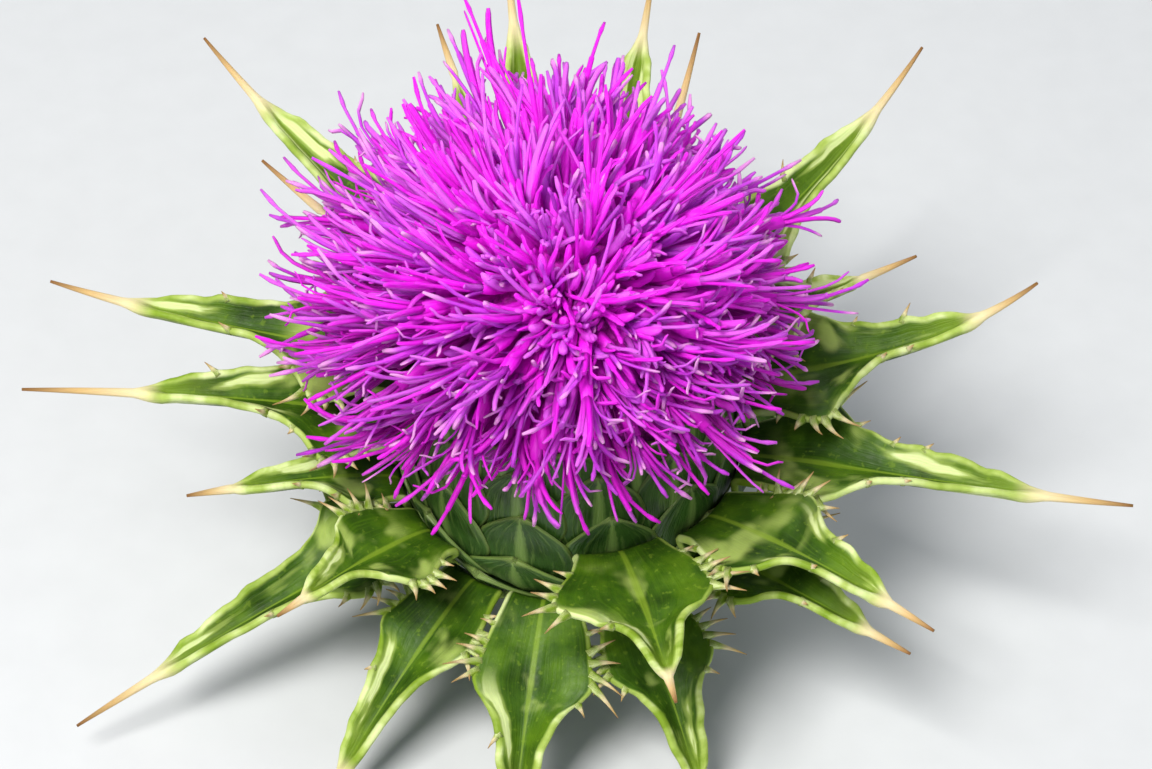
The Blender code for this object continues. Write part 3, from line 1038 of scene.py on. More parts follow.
PLANS: dict[Whorl, tuple[BractPlan, ...]] = {
    Whorl.LOWER: (
        BractPlan(21, 15.0, 27, 6, 0.8),
        BractPlan(55, 14.0, 36, 0),
        BractPlan(92, 15.0, 39, 0),
        BractPlan(129, 14.0, 36, 0),
        BractPlan(162, 15.0, 27, 8, 0.8),
        BractPlan(205, 14.8, 51, 4, 0.95, -4),
        BractPlan(232, 13.6, 39.5, 0, 0.9),
        BractPlan(261, 14.8, 36.5, 0, 1.0),
        BractPlan(293, 14.0, 34, 0, 0.9),
        BractPlan(323, 15.6, 38.7, 16.5, 0.9, 0),
    ),
    Whorl.MIDDLE: (
        BractPlan(24, 20.5, 27, 21, 0.9),
        BractPlan(60, 21.5, 31, 22, 0.9),
        BractPlan(98, 21.0, 47, 44, 1.0, 6),
        BractPlan(141, 21.0, 31, 26, 1.0, 4),
        BractPlan(181, 23.0, 51, 28, 1.0, -4, 3.0, 0.58),
        BractPlan(191, 18.2, 36.5, 20, 0.7, -4, 2.2),
        BractPlan(219, 18.8, 34, 19.5, 0.85, -6, 2.6),
        BractPlan(286, 22.0, 34, 21, 1.0, -12),
        BractPlan(320, 21.0, 42, 24, 1.0, -6),
        BractPlan(348, 21.4, 53, 23, 1.0, 4),
    ),
    Whorl.UPPER: (
        BractPlan(8, 25.2, 44, 35, 1.0, 26, 3.0),
        BractPlan(20, 28.5, 35, 33, 0.7, 4, 1.8, 0.56),
        BractPlan(45, 26.4, 49, 40, 1.0, 18),
        BractPlan(65, 31.6, 29, 48.5, 0.45, 8, 1.8, 0.5),
        BractPlan(80, 27.5, 49, 39, 1.0, 10),
        BractPlan(110, 31.6, 38, 42, 0.6, 6, 1.8),
        BractPlan(135, 28.0, 51, 40, 1.0, 10),
        BractPlan(151, 31.6, 33, 41.5, 0.5, 6, 1.8, 0.52),
        BractPlan(169, 27.3, 50, 32, 1.0, 8, 3.2),
    ),
}


@dataclass(frozen=True)
class BladeSizes:
    """The sizes that all bracts share, in millimetres and in shares of the blade."""

    gap: float = 0.35  # left between neighbours
    claw_rise: float = 0.75  # how far the claw stands off the cup
    bend_rise: float = 1.2  # how far the middle line still heads up the cup at the bend
    tip_pull: float = 0.5  # how much of the middle line follows the tip's heading
    claw_foot: float = 2.6
    claw_top: float = 4.4
    shoulder: float = 9.5
    arm: float = 3.5
    arm_range: Pair = (0.85, 1.12)
    arm_at: float = 6.8
    arm_before: float = 3.2
    arm_after: float = 1.9
    corner: float = 1.6  # how softly a shoulder stops at its neighbour's
    wrap_end: float = 9.0  # where the blade has opened out of the cup's curve
    channel: float = 0.45  # how steeply the blade's halves rise, and how much more past the shoulder
    fold: float = 0.70
    fold_run: float = 0.3
    channel_round: float = 0.6
    channel_reach: float = 3.4
    wave: float = 0.20
    wave_length: float = 10.0
    wave_margin: float = 3.2
    scallop: float = 0.07  # how uneven the margins are
    rim: float = 0.38  # half the thickness of the rolled margins
    rim_share: float = 0.55
    rim_fall: float = 0.55
    lamina: float = 0.28  # half the thickness between them
    keel: float = 0.36
    keel_width: float = 0.8
    upper_keel: float = -0.25
    near_level: float = 2.4  # bracts that bend this close in height leave room for each other
    widest_room: float = 30.0  # in degrees
    horn_base: float = 0.46
    horn_tip: float = 0.14
    horn_lead: float = 0.14  # how long before the spine the blade starts to close up
    horn_run: float = 0.16
    # (share of the way from the shoulder to the spine, half width)
    taper: tuple[Pair, ...] = (
        (0.0, 4.6),
        (0.10, 3.7),
        (0.20, 3.0),
        (0.36, 2.35),
        (0.58, 1.9),
        (0.80, 1.35),
        (0.94, 0.78),
        (1.0, 0.50),
    )


@dataclass(frozen=True)
class PrickleSizes:
    """The small spines: a crowd on each shoulder, one behind it, and lone ones along the margins.

    A fan is the angle by which a spine leans towards the bract's tip, in degrees.
    """

    crowd_fans: tuple[float, ...] = (-30, -10, 8, 30)
    fan_scatter: float = 9.0
    crowd_middle: float = 1.9
    crowd_step: float = 0.85
    crowd_length: Pair = (2.4, 3.7)
    crowd_base: float = 0.36
    rear_at: float = 3.4
    rear_fan: Pair = (-30, -10)
    rear_length: Pair = (1.2, 2.0)
    rear_base: float = 0.30
    lone_from: Pair = (2.2, 3.2)
    lone_step: Pair = (2.4, 4.6)
    lone_end: float = 0.34
    lone_share: float = 0.6
    lone_fan: Pair = (20, 50)
    lone_length: Pair = (0.8, 1.9)
    lone_base: float = 0.34
    foot_inset: float = 0.35
    lean: Pair = (-0.15, 0.45)
    hook: Pair = (0.22, 0.1)  # how far the tips bend along the bract and off its face, per length
    taper: tuple[float, ...] = (1.5, 1.1, 0.74, 0.48, 0.28, 0.10)
    along: Pair = (0.62, 0.35)  # what the place map says at the foot, and how much more at the tip


@dataclass
class Bract:
    """One spreading bract: a claw on the cup, a spiny shoulder, and a channelled blade with a spine."""

    name: str
    plan: BractPlan
    sizes: BladeSizes
    wall: Wall
    room: Pair  # degrees free on the side of lower and of higher azimuth
    head: HeadPlace
    seed: int
    # pallor: the pale marbling and painted highlight of the blade, in its blotch, channel streak and rims
    pallor: float  # how much of the blade is marbled white, from 0 to 1
    prickle: PrickleSizes = PrickleSizes()
    blade_rod: Rod = Rod(32, 76)
    spine_rod: Rod = Rod(6, 6)
    claw_points: int = 12
    curve_points: int = 96
    claw_rings: int = 8
    shoulder_rings: int = 30
    shoulder_reach: Pair = (0.3, 10.5)
    blade_from: float = 11.0
    middles: Array = field(init=False)
    distances: Array = field(init=False)
    random: np.random.Generator = field(init=False)
    size: float = field(init=False)
    length: float = field(init=False)
    arms: Array = field(init=False)
    phase: float = field(init=False)

    def __post_init__(self) -> None:
        """Works out the line along the middle of the bract, from the claw's foot to the spine's tip."""
        plan, sizes = self.plan, self.sizes
        self.random = np.random.default_rng(self.seed)
        z = np.linspace(plan.bend_z - plan.claw, plan.bend_z, self.claw_points)
        claw, along = self.wall.off_wall(z, np.full_like(z, sizes.claw_rise))
        start, tip = claw[-1], np.array((plan.reach, plan.tip_z))
        lift = start + along[-1] * sizes.bend_rise
        heading = unit(tip - lift)
        turn = math.radians(plan.curl)
        c, s = math.cos(turn), math.sin(turn)
        end = np.array((heading[0] * c - heading[1] * s, heading[0] * s + heading[1] * c))
        before_tip = tip - end * np.linalg.norm(tip - start) * sizes.tip_pull
        t = np.linspace(0, 1, self.curve_points)[1:, None]
        blade = start * (1 - t) ** 3 + lift * 3 * (1 - t) ** 2 * t
        blade = blade + before_tip * 3 * (1 - t) * t**2 + tip * t**3
        self.middles = np.concatenate((claw, blade))
        steps = np.linalg.norm(np.diff(self.middles, axis=0), axis=1)
        travelled = np.concatenate(((0.0,), np.cumsum(steps)))
        self.distances = travelled - travelled[len(claw) - 1]
        self.size = min(1.0, plan.width)
        self.length = float(self.distances[-1])
        self.arms = self.random.uniform(*sizes.arm_range, 2)
        self.phase = self.random.uniform(0, math.tau)

    def middle(self, distance: Array) -> Array:
        """The points (radius, z) of the middle line, at distances past the bend."""
        return joined(*(np.interp(distance, self.distances, column) for column in self.middles.T))

    def blade_share(self, distance: Array) -> Array:
        """How far along the blade past the shoulder a point is: 0 before it and 1 at the tip."""
        shoulder = self.sizes.shoulder * self.size
        return np.clip((distance - shoulder) / (self.length - shoulder), 0, 1)

    def horn_share(self, distance: Array) -> Array:
        """How far the blade has closed up into its spine: 0 before it and 1 on it."""
        ahead = self.blade_share(distance) - self.plan.horn + self.sizes.horn_lead
        return smooth(ahead / self.sizes.horn_run)

    def half_width(self, distance: Array, side: Array) -> Array:
        """The bract's half width, with an arm of the shoulder on each side.

        Args:
            distance: How far past the bend.
            side: Which side, as a number under or over 0.

        Returns:
            The half widths.
        """
        sizes = self.sizes
        claw = sizes.claw_foot + (sizes.claw_top - sizes.claw_foot) * smooth(1 + distance / self.plan.claw)
        shoulder = sizes.shoulder * self.size
        neck = sizes.claw_top + (sizes.taper[0][1] - sizes.claw_top) * smooth(distance / shoulder)
        body = np.where(distance < 0, claw, neck)
        share = self.blade_share(distance) / self.plan.horn
        horn = (share - 1) / (1 / self.plan.horn - 1)
        point = sizes.horn_base + (sizes.horn_tip - sizes.horn_base) * np.clip(horn, 0, 1)
        blade = np.maximum(monotone(sizes.taper, share), point)
        body = np.where(distance > shoulder, np.where(share > 1, point / self.size, blade), body)
        off = distance / self.size - sizes.arm_at
        spread = np.where(off < 0, sizes.arm_before, sizes.arm_after)
        grown = np.where(side < 0, self.arms[0], self.arms[1]) * sizes.arm
        body = body + grown * np.exp(-((off / spread) ** 2))
        turn = distance * math.tau / sizes.wave_length + self.phase
        notches = np.sin(turn * 2.3 + 2 * np.sign(side)) + 0.6 * np.sin(turn * 4.1)
        body = body + sizes.scallop * notches * (distance > 0) * (1 - self.horn_share(distance))
        free = np.radians(np.where(side < 0, self.room[0], self.room[1]))
        limit = free * self.middle(distance)[..., 0] - sizes.gap
        return soft_least(body * self.plan.width, limit, sizes.corner)

    def surface(self, distance: Array, across: Array) -> Array:
        """Points of the bract's middle surface, for a bract that points to +X.

        Args:
            distance: How far past the bend.
            across: How far to the side, in millimetres.

        Returns:
            The points.
        """
        sizes = self.sizes
        middle = self.middle(distance)
        step = 0.1
        inner = np.clip(distance, self.distances[0] + step, self.length - step)
        along = unit(self.middle(inner + step) - self.middle(inner - step))
        opening = smooth(distance / sizes.wrap_end)
        reach = np.minimum(np.abs(across), sizes.channel_reach)
        rise = sizes.channel * (np.sqrt(reach**2 + sizes.channel_round**2) - sizes.channel_round)
        folded = 1 + sizes.fold / sizes.channel * smooth(self.blade_share(distance) / sizes.fold_run)
        turn = distance * math.tau / sizes.wave_length + self.phase + 1.3 * np.sign(across)
        wave = sizes.wave * (np.sin(turn) + 0.4 * np.sin(2.7 * turn))
        wave = wave * smooth(np.abs(across) / sizes.wave_margin)
        rise = (rise * folded + wave) * opening * (1 - self.horn_share(distance))
        radius = middle[..., 0] - along[..., 1] * rise
        z = middle[..., 1] + along[..., 0] * rise
        angle = across / middle[..., 0]
        wrapped = polar(radius, angle, z)
        return wrapped + (joined(radius, across, z) - wrapped) * opening[..., None]

    def directions(self, distance: Array, across: Array) -> tuple[Array, Array, Array]:
        """Which way the surface runs: along the bract, to the side, and off its upper face.

        Args:
            distance: How far past the bend.
            across: How far to the side.

        Returns:
            Three unit vectors for each point.
        """
        step = 0.06
        inner = np.clip(distance, self.distances[0] + step, self.length - step)
        along = unit(self.surface(inner + step, across) - self.surface(inner - step, across))
        sideways = unit(self.surface(inner, across + step) - self.surface(inner, across - step))
        return along, sideways, unit(np.cross(along, sideways))

    def ring_distances(self) -> Array:
        """Spaces the rings of the blade, close together on the shoulder.

        Returns:
            How far past the bend each ring lies.
        """
        claw = np.linspace(self.distances[0], 0, self.claw_rings)
        shoulder = np.linspace(*self.shoulder_reach, self.shoulder_rings) * self.size
        left = self.blade_rod.rings - self.claw_rings - self.shoulder_rings
        blade = np.linspace(self.blade_from * self.size, self.length, left)
        return np.concatenate((claw, shoulder, blade))

    def half_thickness(self, across: Array, half: Array, upper: Array) -> Array:
        """How far the skin stands off the middle surface: rolled margins, thin between, and a keel.

        Args:
            across: How far to the side.
            half: The half width there.
            upper: Whether the point is on the upper face.

        Returns:
            The distances.
        """
        sizes = self.sizes
        edge = half - np.abs(across)
        rim = np.minimum(sizes.rim, half * sizes.rim_share)
        roll = np.sqrt(np.clip(rim**2 - (rim - np.minimum(edge, rim)) ** 2, 0, None))
        fall = np.exp(-((np.maximum(edge - rim, 0) / sizes.rim_fall) ** 2))
        inner = np.minimum(sizes.lamina, rim) + np.maximum(rim - sizes.lamina, 0) * fall
        thickness = np.where(edge < rim, roll, inner)
        keel = sizes.keel * np.exp(-((across / sizes.keel_width) ** 2)) * smooth(edge)
        return thickness + np.where(upper, sizes.upper_keel * keel, keel)

    def blade(self, form: Form) -> None:
        """Adds the bract's body to its form.

        Args:
            form: The form.
        """
        rings = self.blade_rod.corners()
        distance = self.ring_distances()[rings.ring]
        half = self.half_width(distance, rings.cosine)
        across = rings.cosine * half
        skin = self.half_thickness(across, half, rings.sine > 0)
        spine = self.horn_share(distance)
        skin = skin * (1 - spine) + half * np.abs(rings.sine) * spine
        skin = skin * np.sign(np.where(np.abs(rings.sine) < 1e-6, 0, rings.sine))
        points = self.surface(distance, across)
        _along, _side, off_face = self.directions(distance, across)
        points = turned(points + off_face * skin[:, None], self.plan.azimuth)
        place = joined(rings.across(), self.along_map(distance))
        edge = np.clip((half - np.abs(across)) * EDGE_UNIT, 0, 1)
        kind = joined(edge, np.full_like(edge, self.pallor))
        form.add(self.blade_rod, points[None], place[None], kind[None])

    def along_map(self, distance: Array) -> Array:
        """What the place map says: 0.3 at the shoulder's end, 0.8 where the spine starts, 1 at the tip.

        Args:
            distance: How far past the bend.

        Returns:
            The map's values.
        """
        shoulder = self.sizes.shoulder * self.size
        before = (distance - self.distances[0]) / (shoulder - self.distances[0])
        share = self.blade_share(distance)
        blade = 0.5 * np.clip(share / self.plan.horn, 0, 1)
        horn = 0.2 * np.clip((share - self.plan.horn) / (1 - self.plan.horn), 0, 1)
        return 0.3 * np.clip(before, 0, 1) + blade + horn

    def prickle_plan(self) -> Array:
        """Where the small spines stand on the margins.

        Returns:
            Rows of distance, side, fan angle in degrees, length and base radius.
        """
        rows = []
        sizes, draw = self.prickle, self.random.uniform
        arm_at = self.sizes.arm_at * self.size
        for side in (-1.0, 1.0):
            for i, fan in enumerate(sizes.crowd_fans):
                at = arm_at + (i - sizes.crowd_middle) * sizes.crowd_step * self.size
                length = draw(*sizes.crowd_length) * (0.7 + 0.3 * self.size)
                fan += draw(-sizes.fan_scatter, sizes.fan_scatter)
                rows.append((at, side, fan, length, sizes.crowd_base))
            at = arm_at - sizes.rear_at * self.size
            rows.append((at, side, draw(*sizes.rear_fan), draw(*sizes.rear_length), sizes.rear_base))
            at = arm_at + draw(*sizes.lone_from) * self.size
            while self.blade_share(np.array(at)) < sizes.lone_end:
                if self.random.random() < sizes.lone_share:
                    length = draw(*sizes.lone_length)
                    rows.append((at, side, draw(*sizes.lone_fan), length, sizes.lone_base))
                at += draw(*sizes.lone_step)
        return np.array(rows)

    def prickles(self, form: Form) -> None:
        """Adds the small spines of the shoulder and margins.

        Args:
            form: The form.
        """
        sizes = self.prickle
        at, side, fan, length, base = self.prickle_plan().T
        across = side * (self.half_width(at, side) - sizes.foot_inset)
        foot = self.surface(at, across)
        along, sideways, off_face = self.directions(at, across)
        fan = np.radians(fan)[:, None]
        lean = self.random.uniform(*sizes.lean, len(at))[:, None]
        heading = unit(sideways * side[:, None] * np.cos(fan) + along * np.sin(fan) + off_face * lean)
        t = np.linspace(0, 1, self.spine_rod.rings)
        bend = along * sizes.hook[0] + off_face * sizes.hook[1]
        bend = bend[:, None, :] * (t**2)[None, :, None]
        paths = foot[:, None, :] + (heading[:, None, :] * t[None, :, None] + bend) * length[:, None, None]
        radii = base[:, None] * np.array(sizes.taper)
        along_map = np.broadcast_to(sizes.along[0] + sizes.along[1] * t, radii.shape)
        paths, facing = (turned(values, self.plan.azimuth) for values in (paths, off_face))
        form.sweep(self.spine_rod, Strands(paths, radii, radii, facing, along_map, np.zeros(len(at))))

    def build(self, material: bpy.types.Material) -> bpy.types.Object:
        """Makes the bract.

        Args:
            material: Its skin.

        Returns:
            The piece.
        """
        form = Form(f"{self.name}_blade", self.head)
        self.blade(form)
        self.prickles(form)
        return form.finish(material, "bract_green", [self.name])


@dataclass
class Bracts:
    """All spreading bracts, whose shoulders leave room for each other."""

    head: HeadPlace
    wall: Wall
    sizes: BladeSizes = BladeSizes()
    seed: int = 40
    # pallor by whorl: pale marbling and painted highlight grow from the lower whorl to the upper
    pallor: dict[Whorl, float] = field(
        default_factory=lambda: {Whorl.LOWER: 0.0, Whorl.MIDDLE: 0.25, Whorl.UPPER: 0.60}
    )
    pallor_range: float = 0.3

    def free_angle(self, plan: BractPlan, side: int) -> float:
        """Half the angle to the next bract of a like height.

        Args:
            plan: The bract.
            side: Towards lower (-1) or higher (1) azimuths.

        Returns:
            The angle in degrees.
        """
        free = self.sizes.widest_room
        for other in (other for plans in PLANS.values() for other in plans):
            away = side * (other.azimuth - plan.azimuth) % 360
            if 0 < away and abs(other.bend_z - plan.bend_z) < self.sizes.near_level:
                free = min(free, away / 2)
        return free

    def build(self, finish: BractFinish) -> list[bpy.types.Object]:
        """Makes every bract.

        Args:
            finish: Their skin.

        Returns:
            The pieces.
        """
        material = finish.material()
        pieces = []
        for whorl, plans in PLANS.items():
            for i, plan in enumerate(plans, 1):
                room = (self.free_angle(plan, -1), self.free_angle(plan, 1))
                name = f"{whorl.value}_bract_{i:02d}"
                seed = self.seed + len(pieces)
                pallor = self.pallor[whorl] + self.pallor_range * (seed * SPREAD % 1)
                bract = Bract(name, plan, self.sizes, self.wall, room, self.head, seed, pallor)
                pieces.append(bract.build(material))
        return pieces


# ---------------------------------------------------------------------------------------------------
# The tuft
# ---------------------------------------------------------------------------------------------------


@dataclass(frozen=True)
class FloretSizes:
    """The shapes of the florets' parts, in millimetres and in shares of a floret's length."""

    limb_at: float = 0.52  # where the lobes start to part
    throat: float = 0.03  # how far the tube reaches past that
    knee_at: float = 0.62  # where the middle line is bent
    knee_back: float = 0.42  # how far before the tip the limb is, against the floret's length
    tube_radii: tuple[float, ...] = (0.34, 0.32, 0.34, 0.42, 0.56, 0.68, 0.60)
    tube_tint: float = 0.4  # keeps the tubes to the hot end of the tints
    lobes: int = 5
    lobe_steps: tuple[float, ...] = (0.0, 0.22, 0.45, 0.66, 0.82, 0.93, 1.0)
    lobe_widths: tuple[float, ...] = (0.36, 0.36, 0.34, 0.32, 0.30, 0.28, 0.17)
    lobe_range: Pair = (0.75, 1.2)  # how much the lobes differ in width
    lobe_depth: float = 0.52  # against the width
    lobe_spin: float = 0.25  # how unevenly they stand round the tube, in radians
    lobe_end: Pair = (0.68, 1.0)
    lobe_foot: float = 0.36  # how far off the middle line they start
    lobe_spread: Pair = (0.2, 1.7)
    lobe_hook: Pair = (-0.7, 1.5)
    hooked_share: float = 0.75  # the share of lobes that hook at their ends
    hook_at: float = 0.72
    hook_run: float = 0.28
    back_at: float = 0.82  # where a hooked lobe's end turns back, and by how much
    back_run: float = 0.18
    back: float = 0.45
    lobe_swing: float = 1.0
    lobe_tint: float = 0.25
    tint_scatter: float = 0.55
    low_thinner: float = 0.22  # how the lobes of the lowest florets differ
    low_wider: float = 0.35
    low_hook: float = 0.4
    style_steps: tuple[float, ...] = (0.50, 0.66, 0.80, 0.81, 0.94, 0.98, 1.04)
    style_radii: tuple[float, ...] = (0.24, 0.29, 0.27, 0.18, 0.17, 0.24, 0.13)
    style_bend: float = 1.3
    long_styles: float = 0.12  # the share of florets whose style stands out further
    long_style: Pair = (1.08, 1.20)
    bud_steps: tuple[float, ...] = (0.0, 0.35, 0.70, 0.88, 0.96, 1.0)
    bud_radii: tuple[float, ...] = (0.28, 0.34, 0.42, 0.42, 0.30, 0.12)
    bud_range: Pair = (0.85, 1.15)
    bud_tint: Pair = (0.1, 0.8)
    bud_along: Pair = (0.4, 0.5)  # what the place map says at the foot, and how much more at the tip


@dataclass
class Tuft:
    """The florets: slim tubes that fan out of the cup, split into lobes, with the style in the middle."""

    head: HeadPlace
    sizes: FloretSizes = FloretSizes()
    centre_z: float = 34.0
    radius: float = 24.6
    root_reach: float = 10.5
    lean: Pair = (-0.11, 0.045)  # how much longer the florets are towards +X and +Y
    count: int = 400
    lowest: float = -4.0  # elevations in degrees
    highest: float = 89.5
    lowest_root: float = 50.0
    lowest_bud: float = 8.0
    low_from: float = 50.0  # florets count as low from this elevation down, over that many degrees
    low_run: float = 30.0
    scatter: float = 1.6  # how unevenly the florets are spread, in degrees
    bud_scatter: float = 3.0
    bud_turn: float = 90.0
    crown: Pair = (264.0, 53.0)  # the azimuth and elevation of the tuft's parting
    fan_reach: float = 11.0  # how far from the centre the place lies that the florets fan out from
    dip: float = 3.6  # how much shorter they are at the parting, and over how many degrees
    dip_reach: float = 24.0
    over_rim: Pair = (37.0, 20.0)  # the height and radius of the rim that the lowest florets clear
    rim_near: float = 4.0  # how far inside that radius they are lifted in full
    rim_lead: float = 1.5  # how far over that height the lift starts
    rim_run: float = 3.0  # the drop over which it sets in
    rim_rise: float = 0.8  # how far over that height their limbs are lifted
    shortest: float = -3.4  # the least and the most that a floret reaches past the radius
    longest: float = 1.4
    stray_share: float = 0.085  # the share of florets that stand out past the others
    stray_extra: Pair = (2.4, 6.6)
    sway: float = 0.9  # how far the florets' limbs stray to any side
    pale_low: float = 0.44  # the share of lobes with blush tips, low down and high up
    pale_high: float = 0.13
    pale_tint: float = 0.88
    pale_spread: float = 0.1
    highest_z: float = 64.3
    least_rise: float = 0.2  # keeps the limit in height finite for level florets
    core_r: float = 14.5
    core_foot: float = 2.6
    buds: int = 260
    bud_reach: Pair = (17.0, 21.0)
    clearance: float = 0.45  # kept between the florets and the bracts
    seed: int = 11
    tube_rod: Rod = Rod(6, 7)
    lobe_rod: Rod = Rod(4, 7)
    style_rod: Rod = Rod(5, 7)
    bud_rod: Rod = Rod(6, 6)
    random: np.random.Generator = field(init=False)
    azimuth: Array = field(init=False)
    elevation: Array = field(init=False)
    reach: Array = field(init=False)
    tint: Array = field(init=False)
    bend: Array = field(init=False)

    def __post_init__(self) -> None:
        """Draws each floret's direction and length."""
        self.random = np.random.default_rng(self.seed)
        draw = self.random.uniform
        azimuth, elevation = dome_spread(self.count, self.lowest)
        self.azimuth = np.radians(azimuth + draw(-self.scatter, self.scatter, self.count))
        elevation = elevation + draw(-self.scatter, self.scatter, self.count)
        self.elevation = np.clip(elevation, self.lowest, self.highest)
        reach = self.radius + draw(self.shortest, self.longest, self.count)
        outward = unit(self.point(self.azimuth, self.elevation, np.ones(self.count)) - self.centre())
        away = np.degrees(np.arccos(np.clip(outward @ unit(self.fan_place() - self.centre()), -1, 1)))
        reach -= self.dip * np.exp(-((away / self.dip_reach) ** 2))
        level = np.cos(np.radians(self.elevation))
        reach *= 1 + level * (self.lean[0] * np.cos(self.azimuth) + self.lean[1] * np.sin(self.azimuth))
        stray = draw(0, 1, self.count) < self.stray_share
        reach += np.where(stray, draw(*self.stray_extra, self.count), 0)
        high = np.sin(np.radians(self.elevation))
        limit = (self.highest_z - self.centre_z) / np.maximum(high, self.least_rise)
        self.reach = np.minimum(reach, limit)
        self.tint = draw(0, 1, self.count)
        self.bend = self.random.normal(0, self.sway, (self.count, 3))

    def centre(self) -> Array:
        """The tuft's centre."""
        return np.array((0.0, 0.0, self.centre_z))

    def fan_place(self) -> Array:
        """The place under the tuft's parting from which the florets fan out."""
        return self.point(np.radians(self.crown[0]), self.crown[1], self.fan_reach)

    def point(self, azimuth: Array, elevation: Array, reach: Array) -> Array:
        """Points at a reach from the tuft's centre, by azimuth in radians and elevation in degrees."""
        up = np.radians(elevation)
        return polar(reach * np.cos(up), azimuth, self.centre_z + reach * np.sin(up))

    def knees(self, azimuth: Array, elevation: Array, reach: Array) -> tuple[Array, Array, Array]:
        """Where florets have their root, limb and tip.

        They fan out from a place under the tuft's parting, and the lowest ones rise over the cup's rim.

        Args:
            azimuth: The tips' azimuths in radians.
            elevation: The tips' elevations in degrees.
            reach: The tips' distances from the tuft's centre.

        Returns:
            The roots, limbs and tips.
        """
        root_up = self.lowest_root + (90 - self.lowest_root) * elevation / 90
        root = self.point(azimuth, root_up, np.full(len(azimuth), self.root_reach))
        tip = self.point(azimuth, elevation, reach)
        heading = unit(tip - self.fan_place())
        limb = tip - heading * ((reach - self.root_reach) * self.sizes.knee_back)[:, None]
        rim_z, rim_r = self.over_rim
        near = smooth((rim_r - np.hypot(limb[:, 0], limb[:, 1])) / self.rim_near)
        low = smooth((rim_z + self.rim_lead - limb[:, 2]) / self.rim_run) * near
        limb[:, 2] += low * np.maximum(rim_z + self.rim_rise - limb[:, 2], 0)
        return root, limb, tip

    def path(self, t: Array, extra: float | Array = 1.0) -> Array:
        """Points on the florets' middle lines, which pass through root, limb and tip.

        Args:
            t: Shares of the floret's length, as (florets, points).
            extra: How much longer than the floret each line is.

        Returns:
            The points, as (florets, points, 3).
        """
        root, limb, tip = self.knees(self.azimuth, self.elevation, self.reach)
        limb = limb + self.bend
        t = (t * extra)[..., None]
        knee = self.sizes.knee_at
        a = (t - knee) * (t - 1) / knee
        b = t * (t - 1) / (knee * (knee - 1))
        c = t * (t - knee) / (1 - knee)
        return root[:, None] * a + limb[:, None] * b + tip[:, None] * c

    def alike(self, values: Sequence[float] | Array) -> Array:
        """The same values for every floret, as (florets, values)."""
        return np.broadcast_to(np.array(values), (self.count, len(values)))

    def frames(self) -> tuple[Array, Array]:
        """Finds how each floret is turned.

        Returns:
            Two directions across each floret.
        """
        heading = unit(np.diff(self.path(self.alike((0.5, 0.7))), axis=1)[:, 0])
        level = joined(-np.sin(self.azimuth), np.cos(self.azimuth), np.zeros(self.count))
        side = unit(level - heading * (level * heading).sum(-1, keepdims=True))
        return side, np.cross(heading, side)

    def tubes(self) -> Strands:
        """Lays out the corolla tubes, from the root to the throat.

        Returns:
            The bundle.
        """
        sizes = self.sizes
        t = self.alike(np.linspace(0, sizes.limb_at + sizes.throat, self.tube_rod.rings))
        radii = self.alike(sizes.tube_radii)
        side, _other = self.frames()
        return Strands(self.path(t), radii, radii, side, t, self.tint * sizes.tube_tint)

    def lobe_strands(self) -> Strands:
        """Lays out the lobes, which part at the throat, spread, and hook over at their ends.

        Returns:
            The bundle.
        """
        sizes, draw = self.sizes, self.random.uniform
        side, other = self.frames()
        shape = (self.count, sizes.lobes)
        spin = draw(0, math.tau, (self.count, 1)) + np.arange(sizes.lobes) * math.tau / sizes.lobes
        spin = spin + draw(-sizes.lobe_spin, sizes.lobe_spin, shape)
        out = side[:, None] * np.cos(spin)[..., None] + other[:, None] * np.sin(spin)[..., None]
        step = np.array(sizes.lobe_steps)
        low = smooth((self.low_from - self.elevation) / self.low_run)[:, None]
        end = draw(*sizes.lobe_end, shape)
        spread = draw(*sizes.lobe_spread, shape) * (1 + sizes.low_wider * low)
        hook = draw(*sizes.lobe_hook, shape) * (draw(0, 1, shape) < sizes.hooked_share)
        hook = hook * (sizes.low_hook + low)
        swing = draw(-sizes.lobe_swing, sizes.lobe_swing, shape)
        t = sizes.limb_at + (end[..., None] - sizes.limb_at) * step
        middle = self.path(t.reshape(self.count, -1)).reshape(*shape, len(step), 3)
        hooked = hook[..., None] * smooth((step - sizes.hook_at) / sizes.hook_run)
        away = sizes.lobe_foot + spread[..., None] * step**1.5 + hooked
        across = np.cross(unit(middle[:, :, -1] - middle[:, :, 0]), out)
        sway = swing[..., None] * step**2
        paths = middle + out[:, :, None] * away[..., None] + across[:, :, None] * sway[..., None]
        back = np.abs(hook)[..., None] * smooth((step - sizes.back_at) / sizes.back_run) * sizes.back
        paths = paths - unit(middle[:, :, -1:] - middle[:, :, :1]) * back[..., None]
        paths = paths.reshape(-1, len(step), 3)
        return self.lobe_bundle(paths, across.reshape(-1, 3), np.repeat(low, sizes.lobes, axis=0))

    def lobe_bundle(self, paths: Array, across: Array, low: Array) -> Strands:
        """Gives the lobes their widths and tints.

        Args:
            paths: Their paths.
            across: The ways in which their widths are measured.
            low: How low on the tuft each stands, as (lobes, 1).

        Returns:
            The bundle.
        """
        sizes, draw = self.sizes, self.random.uniform
        count = len(paths)
        widths = np.array(sizes.lobe_widths) * draw(*sizes.lobe_range, (count, 1))
        widths = widths * (1 - sizes.low_thinner * low)
        share = self.pale_high + (self.pale_low - self.pale_high) * low[:, 0]
        tint = np.repeat(self.tint, sizes.lobes) * sizes.lobe_tint + draw(0, sizes.tint_scatter, count)
        tint = np.where(draw(0, 1, count) < share, self.pale_tint + self.pale_spread * tint, tint)
        along = sizes.limb_at + (1 - sizes.limb_at) * np.array(sizes.lobe_steps)
        along = np.broadcast_to(along, widths.shape)
        return Strands(paths, widths, widths * sizes.lobe_depth, across, along, tint)

